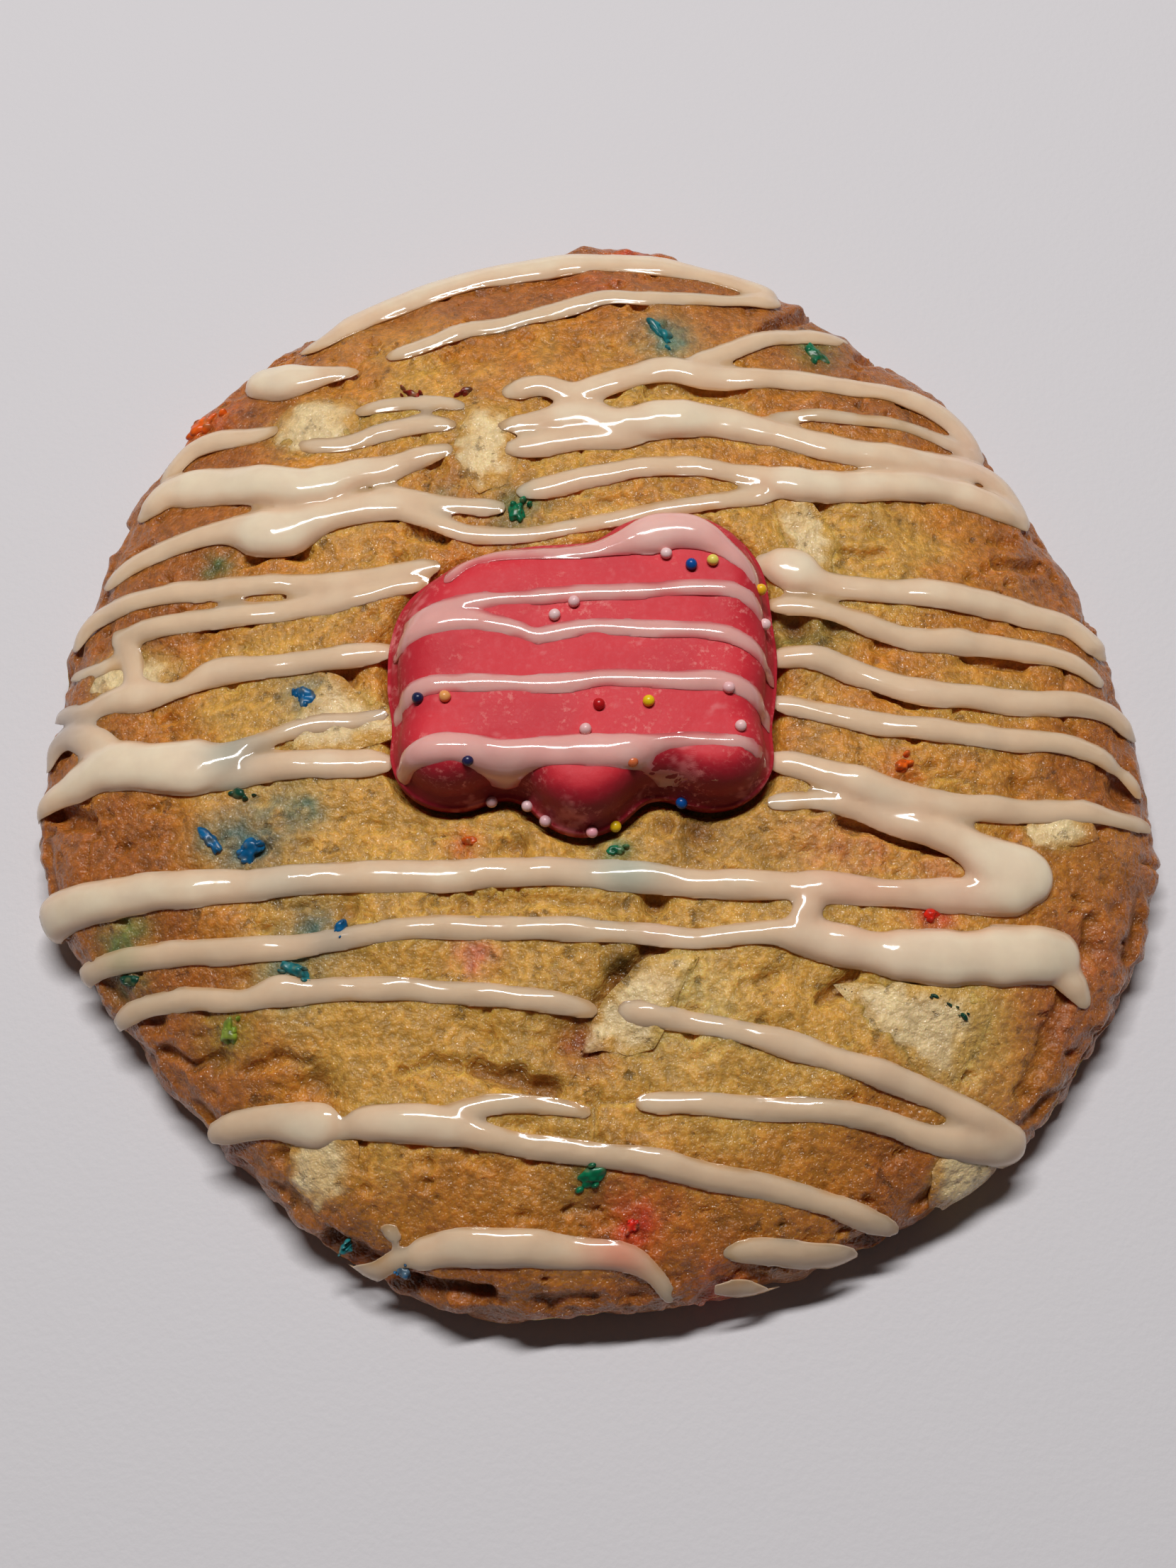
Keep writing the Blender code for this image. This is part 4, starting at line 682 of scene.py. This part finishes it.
def meltStrokes(name, runs, seed):
    clearSelection()
    drawing = bpy.data.curves.new(name, "CURVE")
    drawing.dimensions = "3D"
    drawing.bevel_depth = 1.0
    drawing.bevel_resolution = 4
    drawing.use_fill_caps = True
    for number, run in enumerate(runs):
        points = np.array(smoothRun(run))
        heading = np.arctan2(np.gradient(points[:, 1]), np.gradient(points[:, 0]))
        where = np.stack([points[:, 0], points[:, 1], np.full(len(points), seed + 3.7 * number)], axis=1)
        aside = icing["sideWobble"] * grain(where, 3.2, 41)
        uneven = 1 + icing["widthWobble"] * (grain(where, 2.6, 42) + grain(where, 1.4, 43))
        radius = (points[:, 2] / 2 + icing["swell"]) * uneven
        length = icing["pointStep"] * np.arange(len(points))
        reach, least = icing["taper"]
        narrow = (1 - least) * (1 - ramp(points[:, 2], 2.6, 3.4))  # wide ends stay round
        radius *= 1 - narrow * (1 - ramp(np.minimum(length, length[::-1]), 0, reach))
        px = points[:, 0] - aside * np.sin(heading)
        py = points[:, 1] + aside * np.cos(heading)
        route = list(zip(px, py, radius))
        for far, near in ((0, 1), (-1, -2)):
            (ex, ey, size), (nx, ny, _) = route[far], route[near]
            away = math.dist((ex, ey), (nx, ny))
            cap = [(ex + (ex - nx) / away * out * size, ey + (ey - ny) / away * out * size, size * wide)
                   for out, wide in icing["caps"]]
            route = cap + route if far == 0 else route + cap[::-1]
        spline = drawing.splines.new("POLY")
        spline.points.add(len(route) - 1)
        for point, (x, y, size) in zip(spline.points, route):
            point.co = (x, y, 0, 1)
            point.radius = size
    obj = bpy.data.objects.new(name, drawing)
    bpy.context.scene.collection.objects.link(obj)
    obj.select_set(True)
    bpy.context.view_layer.objects.active = obj
    bpy.ops.object.convert(target="MESH")
    obj = bpy.context.object
    obj.name = obj.data.name = name
    applyStep(obj, "REMESH", mode="VOXEL", voxel_size=icing["voxel"], adaptivity=0.0)
    applyStep(obj, "SMOOTH", factor=0.5, iterations=icing["smoothing"])
    return obj


def layOver(obj, skin, colours, tints):
    flat = placesOf(obj)
    height = flat[:, 2]
    lift = np.maximum(height, 0)
    above = icing["rise"] * lift**4 / (lift**3 + icing["softness"] ** 3)
    lifted = icing["lift"] + above + icing["root"] * np.minimum(height, 0)
    x, y = flat[:, 0], flat[:, 1]
    points = skin(x, y) + normalAt(skin, x, y) * lifted[:, None]
    setPlaces(obj, points)
    amount = above + 0.1 * grain(points, 1.8, 44)
    shades = np.tile(colours["thin"], (len(points), 1))
    blend(shades, colours["full"], ramp(amount, -0.08, 0.16))
    blend(shades, colours["thick"], ramp(amount, 0.3, 0.95))
    for sx, sy, radius, colour, strength in tints:
        blend(shades, tone(*colour), strength * fade(x, y, sx, sy, radius))
    setNumbers(obj, "glaze", shades)
    print(obj.name, len(points), "points")


# The other pieces

frosting = {
    "base": tone(200, 44, 54),
    "dull": tone(184, 36, 48),
    # painted shade: low and shade are darker reds painted on the foot and on the sides turned away from the
    # lamp
    "low": tone(150, 18, 36),
    "shade": tone(104, 10, 26),
    "bloom": tone(214, 120, 120),
    "speck": tone(220, 130, 124),
}


def makeBiscuit():
    obj = makeSheet("frostedBiscuit", biscuit["cells"], biscuit["sideRings"])
    turn, reach, down = roundPlaces(obj, biscuit["sideRings"])
    outline = outlineAt(turn)
    cx, cy = biscuit["centre"]
    out = np.where(down > 0, outline - biscuit["undercut"] * down**2, outline * reach)
    out = np.where((down > 0) & (reach < 0.5), 0, out)
    x, y = cx + out * np.cos(turn), cy + out * np.sin(turn)
    points = np.stack([x, y, biscuitSkin(x, y)[:, 2]], axis=1)
    below = down > 0
    points[below, 2] = (biscuit["skirt"] + (biscuit["bottom"] - biscuit["skirt"]) * down)[below]
    setPlaces(obj, points)
    outward = placesOf(obj, "normal")
    wobble = 0.12 * grain(points, 4.0, 51) + 0.03 * grain(points, 1.6, 52) + 0.02 * grain(points, 0.7, 53)
    points = points + outward * (wobble * (~below))[:, None]
    setPlaces(obj, points)
    inward = lobeField(points[:, 0], points[:, 1])
    # painted shade: the sides turned away from the lamp (facing) and the parts near the foot (low) are
    # painted darker
    facing = ramp(-placesOf(obj, "normal")[:, 1], 0.1, 0.65)
    colours = np.tile(frosting["base"], (len(points), 1))
    blend(colours, frosting["dull"], ramp(grain(points, 5.0, 54), 0.0, 0.8) * 0.5)
    low = 1 - ramp(inward, 0.4, 3.0)
    blend(colours, frosting["low"], 0.6 * np.maximum(low, facing))
    blend(colours, frosting["shade"], 0.6 * facing * low)
    bloom = 0.7 * grain(points, 0.7, 55) + 0.5 * grain(points, 0.4, 56) + 0.8 * grain(points, 3.0, 57)
    bloom += 0.3 * low + 0.25 * ramp(-points[:, 0], 4, 14) + 0.2 * facing
    blend(colours, frosting["bloom"], 0.5 * ramp(bloom, 0.85, 1.5))
    setNumbers(obj, "glaze", colours)
    print("biscuit:", len(points), "points")
    return obj


balls = (  # x, y, colour
    (7.9, 10.6, (10, 70, 140)), (9.7, 11, (222, 200, 90)), (13.7, 9.3, (222, 170, 30)),
    (-14.8, -1.2, (24, 32, 66)), (-12.6, -1.3, (222, 150, 84)), (4.2, -1.8, (226, 186, 20)),
    (0.1, -2.1, (170, 20, 24)), (-10.7, -6.8, (36, 34, 70)), (2.8, -6.8, (206, 104, 60)),
    (7.2, -8.9, (8, 70, 140)), (1.5, -11.4, (214, 172, 20)), (-0.5, -11.5, (222, 150, 160)),
    (-4.3, -10.7, (216, 168, 172)), (-5.9, -9.4, (220, 180, 182)), (-9.3, -9, (214, 166, 168)),
    (5.8, 11.6, (226, 188, 186)), (-2, 7.2, (224, 178, 178)), (-3.6, 6, (226, 186, 184)),
    (14, 6.3, (222, 184, 182)), (10.8, -0.5, (222, 172, 172)), (-1, -4.3, (222, 172, 170)),
    (11.7, -3.9, (224, 176, 174)),
)
ballRadius = 0.5


def makePebble(name, detail, centre, up, halves, turn):
    clearSelection()
    bpy.ops.mesh.primitive_ico_sphere_add(subdivisions=detail, radius=1.0)
    obj = bpy.context.object
    obj.name = obj.data.name = name
    points = placesOf(obj)
    side = np.array((math.cos(math.radians(turn)), math.sin(math.radians(turn)), 0.0))
    side -= up * (side @ up)
    side /= np.linalg.norm(side)
    other = np.cross(up, side)
    points = points * halves
    setPlaces(obj, centre + points[:, :1] * side + points[:, 1:2] * other + points[:, 2:] * up)
    return obj


def joinAll(parts, name):
    clearSelection()
    for part in parts:
        part.select_set(True)
    bpy.context.view_layer.objects.active = parts[0]
    bpy.ops.object.join()
    obj = bpy.context.object
    obj.name = obj.data.name = name
    return obj


def makeBalls():
    parts = []
    for k, (x, y, colour) in enumerate(balls):
        spot, up = spotOn(biscuitSkin, x, y)
        ball = makePebble(f"ball{k}", 3, spot + up * ballRadius * 0.4, up, np.array([ballRadius] * 3), 0)
        points = placesOf(ball)
        middle = points.mean(axis=0)
        setPlaces(ball, middle + (points - middle) * (1 + 0.05 * grain(points, 0.5, 60 + k))[:, None])
        setNumbers(ball, "glaze", np.tile(tone(*colour), (len(points), 1)))
        parts.append(ball)
    return joinAll(parts, "sugarBalls")


flake = {
    "pieces": 5,  # one large piece, and crumbs round it
    "share": 0.85,
    "crumbShare": (0.22, 0.42),
    "scatter": 0.32,
    "height": 0.5,
    "sunk": 0.22,
    "dusty": tone(110, 104, 64),
}


def makeSprinkles():
    parts = []
    for k, (x, y, length, width, turn, colour) in enumerate(sprinkles):
        for crumb in range(flake["pieces"]):
            size = flake["share"] if crumb == 0 else rng.uniform(*flake["crumbShare"])
            away = rng.normal(0, flake["scatter"], 2) * (length, width) if crumb else np.zeros(2)
            aside, ahead = turned(*away, turn)
            spot, up = spotOn(doughSkin, x + aside, y + ahead)
            halves = np.array([length / 2 * size, width / 2 * size, flake["height"]])
            detail = 4 if crumb == 0 else 3
            part = makePebble(f"flake{k}_{crumb}", detail, spot - up * flake["sunk"], up, halves, turn)
            points = placesOf(part)
            middle = points.mean(axis=0)
            uneven = 1 + 0.4 * grain(points, 0.9, 80 + k) + 0.3 * grain(points, 0.4, 81 + k)
            points = middle + (points - middle) * uneven[:, None]
            setPlaces(part, points)
            shade = np.tile(tone(*colour), (len(points), 1))
            blend(shade, flake["dusty"], 0.4 * ramp(grain(points, 0.5, 82 + k), 0.1, 0.6))
            setNumbers(part, "glaze", shade * (1 + 0.5 * grain(points, 0.35, 83 + k))[:, None])
            parts.append(part)
    return joinAll(parts, "bakedSprinkles")


def makeChunk(name, node, place, seed):
    x, y, length, width, turn = place
    clearSelection()
    bpy.ops.mesh.primitive_ico_sphere_add(subdivisions=6, radius=1.0)
    obj = bpy.context.object
    obj.name = obj.data.name = name
    u, v, w = placesOf(obj).T
    q = np.hypot(u, v)
    half = math.pi / chunk["sides"].get(node, 5)
    facet = math.cos(half) / np.cos((np.arctan2(v, u) + seed) % (2 * half) - half)
    square = 0.3 + 0.95 * facet / (0.5 + 0.5 * math.cos(half))
    ring = np.stack([u, v, 0 * u], axis=1) / np.maximum(q, 1e-6)[:, None]
    uneven = 1 + 0.2 * grain(ring, 0.9, seed) + 0.08 * grain(ring, 0.35, seed + 5)
    along = u * square * uneven * length / 2 * chunk["spread"]
    across = v * square * uneven * width / 2 * chunk["spread"]
    aside, ahead = turned(along, across, turn)
    px, py = x + aside, y + ahead
    base = doughSkin(px, py)
    top = chunk["top"] - (chunk["top"] - chunk["edge"]) * q**6
    top = top + 0.14 * grain(base, 1.6, seed + 1) + 0.07 * grain(base, 0.7, seed + 2)
    bottom = chunk["edge"] - chunk["sunk"] * np.sqrt(np.maximum(0, 1 - q * q))
    lifted = np.where(w > 0, top, np.minimum(bottom, top - 0.02))
    points = base + normalAt(doughSkin, px, py) * lifted[:, None]
    setPlaces(obj, points)
    colours = np.tile(chunk["ivory"], (len(points), 1))
    blend(colours, chunk["tan"], ramp(grain(base, 2.2, seed + 3), 0.0, 0.8) * 0.5)
    toRight = (px - x) / length  # the left edge stays crisper
    melted = ramp(q + 0.25 * grain(base, 0.9, seed + 4) + 0.2 * toRight, 0.45, 0.95)
    blend(colours, crustColour(base, np.zeros(len(base))), melted)
    setNumbers(obj, "glaze", colours)
    return obj


# Finishes


class Finish:  # a material, and the kinds of node that it is made of
    def __init__(self, name):
        self.material = bpy.data.materials.new(name)
        self.material.use_nodes = True
        self.nodes = self.material.node_tree.nodes
        self.surface = self.nodes["Principled BSDF"]
        self.place = self.nodes.new("ShaderNodeTexCoord").outputs["Object"]

    def feed(self, node, **values):  # sockets are named without their spaces
        for name, value in values.items():
            socket = next(entry for entry in node.inputs if entry.name.replace(" ", "") == name)
            if isinstance(value, bpy.types.NodeSocket):
                self.material.node_tree.links.new(value, socket)
            elif value is not None:
                socket.default_value = value
        return node.outputs

    def tint(self, attribute):
        node = self.nodes.new("ShaderNodeVertexColor")
        node.layer_name = attribute
        return node.outputs["Color"]

    def speckle(self, scale, detail=3.0, roughness=0.55):
        node = self.nodes.new("ShaderNodeTexNoise")
        return self.feed(node, Vector=self.place, Scale=scale, Detail=detail, Roughness=roughness)["Fac"]

    def spread(self, source, low, high, fromLow=0.3, fromHigh=0.7):
        node = self.nodes.new("ShaderNodeMapRange")
        outputs = self.feed(node, Value=source, FromMin=fromLow, FromMax=fromHigh, ToMin=low, ToMax=high)
        return outputs["Result"]

    def relief(self, source, distance, strength, under=None):
        node = self.nodes.new("ShaderNodeBump")
        return self.feed(node, Height=source, Distance=distance, Strength=strength, Normal=under)["Normal"]

    def shaded(self, colour, factor):  # multiplies a colour by a number
        node = self.nodes.new("ShaderNodeVectorMath")
        node.operation = "SCALE"
        return self.feed(node, Vector=colour, Scale=factor)["Vector"]


# Moist translucent grains, with glints from the wet film on them
def crumbFinish(name, attribute, low, high, milkiness):
    finish = Finish(name)
    grains = finish.speckle(1500, 2.0, 0.6)
    crumb = finish.speckle(3800, 1.0, 0.5)
    coarse = finish.speckle(380)
    holes = finish.speckle(640, 5.0, 0.62)
    # partly the crumb's own uneven tone, partly painted shade: the grain noise that raises the bumps also
    # darkens the colour in their valleys
    tint = finish.shaded(finish.tint(attribute), finish.spread(grains, low, high, 0.36, 0.62))
    tint = finish.shaded(tint, finish.spread(coarse, 0.86, 1.14))
    # painted shade in the pits: the colour is darkened where the holes noise sinks the surface
    tint = finish.shaded(tint, finish.spread(holes, 1.0, 0.55, 0.61, 0.68))
    soft = finish.relief(finish.spread(holes, 1.0, 0.0, 0.6, 0.68), 0.0003, 0.5)
    soft = finish.relief(grains, 0.0005, 0.65, soft)
    wet = finish.relief(grains, 0.0008, 1.0)
    wet = finish.relief(crumb, 0.00025, 1.0, wet)
    finish.feed(finish.surface, BaseColor=tint, Roughness=0.5, SpecularIORLevel=0.25, Normal=soft,
                CoatWeight=1.0, CoatRoughness=0.19, CoatNormal=wet,
                SubsurfaceWeight=milkiness, SubsurfaceRadius=(1.0, 0.6, 0.3), SubsurfaceScale=0.0016)
    return finish.material


def glazeFinish(name, roughness, milkiness, bump=0.00002, radius=(1.0, 0.75, 0.5)):
    finish = Finish(name)
    tint = finish.shaded(finish.tint("glaze"), finish.spread(finish.speckle(500), 0.96, 1.04))
    shine = finish.spread(finish.speckle(1200), roughness - 0.04, roughness + 0.05)
    bumps = finish.relief(finish.speckle(700, 1.0), bump, 0.5)
    finish.feed(finish.surface, BaseColor=tint, Roughness=shine, Normal=bumps, IOR=1.47,
                SubsurfaceWeight=milkiness, SubsurfaceRadius=radius, SubsurfaceScale=0.0016)
    return finish.material


def frostingFinish():
    finish = Finish("pink frosting")
    speck = finish.speckle(1900, 4.0, 0.7)
    patches = finish.speckle(260)
    joined = finish.nodes.new("ShaderNodeMath")
    joined.operation = "MULTIPLY"
    links = finish.material.node_tree.links
    links.new(finish.spread(speck, 0.0, 0.85, 0.52, 0.68), joined.inputs[0])
    links.new(finish.spread(patches, 0.05, 1.0, 0.46, 0.66), joined.inputs[1])
    mix = finish.nodes.new("ShaderNodeMix")
    mix.data_type = "RGBA"
    links.new(joined.outputs["Value"], mix.inputs["Factor"])
    links.new(finish.tint("glaze"), mix.inputs["A"])
    mix.inputs["B"].default_value = (*frosting["speck"], 1)
    bumps = finish.relief(speck, 0.00006, 0.6, finish.relief(patches, 0.0002, 0.12))
    finish.feed(finish.surface, BaseColor=mix.outputs["Result"], Roughness=finish.spread(speck, 0.5, 0.66),
                Normal=bumps, SpecularIORLevel=0.3,
                SubsurfaceWeight=0.15, SubsurfaceRadius=(1.0, 0.35, 0.3), SubsurfaceScale=0.001)
    return finish.material


# Putting the cookie together

bread = makeDough()
settle(bread, "baked_dough", crumbFinish("baked dough", "bake", 0.8, 1.2, 0.7), "cookie")

drizzle = meltStrokes("icingDrizzle", doughStrokes, 0.0)
layOver(drizzle, doughSkin, glaze, icingStains)
settle(drizzle, "baked_dough", glazeFinish("sugar icing", 0.1, 0.6, radius=(0.9, 0.85, 0.8)))

flakes = makeSprinkles()
settle(flakes, "baked_dough", glazeFinish("baked sprinkles", 0.32, 0.1, 0.0001))

body = makeBiscuit()
settle(body, "pink_frosting", frostingFinish(), "frosted_biscuit")

ribbons = meltStrokes("frostingDrizzle", frostingStrokes, 50.0)
layOver(ribbons, biscuitSkin, pinkGlaze, ())
settle(ribbons, "pink_frosting", glazeFinish("pink tinged icing", 0.1, 0.35))

beads = makeBalls()
settle(beads, "pink_frosting", glazeFinish("sugar balls", 0.28, 0.1))

chunkFinish = crumbFinish("white chunk", "glaze", 0.88, 1.08, 0.25)
for number, (node, place) in enumerate(chunks.items()):
    piece = makeChunk(node.replace("white_chunk_", "whiteChunk"), node, place, 100 + 5 * number)
    settle(piece, "white_chunk", chunkFinish, node)
print("pieces made")


# Floor, light and camera

studio = {
    "floor": (200, 196, 198),
    "floorSize": 3.0,
    "floorHeight": -0.00005,
    "lampSize": (0.42, 0.07),
    "lampPower": 5.2,
    "lampPlace": (-0.05, 0.28, 0.74),  # it shines at the origin
    "skyColour": (0.95, 0.97, 1.0, 1),
    "skyStrength": 0.03,
    "lens": 54.1,
    "distance": 0.205,
    "elevation": 70.0,
    "aim": (-0.8, -4.5, 8.0),  # in plan millimetres
}


def makeFloor():
    clearSelection()
    bpy.ops.mesh.primitive_plane_add(size=studio["floorSize"], location=(0, 0, studio["floorHeight"]))
    obj = bpy.context.object
    obj.name = "tableTop"
    finish = Finish("pale table")
    finish.feed(finish.surface, BaseColor=(*tone(*studio["floor"]), 1), Roughness=0.6, SpecularIORLevel=0.3,
                Normal=finish.relief(finish.speckle(1600, 2.0), 0.0001, 0.35))
    obj.data.materials.append(finish.material)


def makeLamp():
    data = bpy.data.lights.new("lamp", "AREA")
    data.shape = "RECTANGLE"
    data.size, data.size_y = studio["lampSize"]
    data.energy = studio["lampPower"]
    obj = bpy.data.objects.new("lamp", data)
    obj.location = studio["lampPlace"]
    obj.rotation_euler = (-obj.location).to_track_quat("-Z", "Y").to_euler()
    bpy.context.scene.collection.objects.link(obj)


def makeStudio():
    makeFloor()
    makeLamp()
    world = bpy.data.worlds.new("room")
    world.use_nodes = True
    world.node_tree.nodes["Background"].inputs["Color"].default_value = studio["skyColour"]
    world.node_tree.nodes["Background"].inputs["Strength"].default_value = studio["skyStrength"]
    bpy.context.scene.world = world
    camera = bpy.data.cameras.new("camera")
    camera.lens = studio["lens"]
    camera.sensor_width = 36
    camera.sensor_fit = "AUTO"
    camera.clip_start = 0.01
    obj = bpy.data.objects.new("camera", camera)
    aim = Vector([(a + b) * mm for a, b in zip(studio["aim"], (*planShift, 0))])
    tilt = math.radians(studio["elevation"])
    obj.location = aim + Vector((0, -math.cos(tilt), math.sin(tilt))) * studio["distance"]
    obj.rotation_euler = (math.pi / 2 - tilt, 0, 0)
    bpy.context.scene.collection.objects.link(obj)
    bpy.context.scene.camera = obj
    view = bpy.context.scene.view_settings
    view.view_transform = "Standard"
    view.look = "None"
    print("studio ready")


makeStudio()
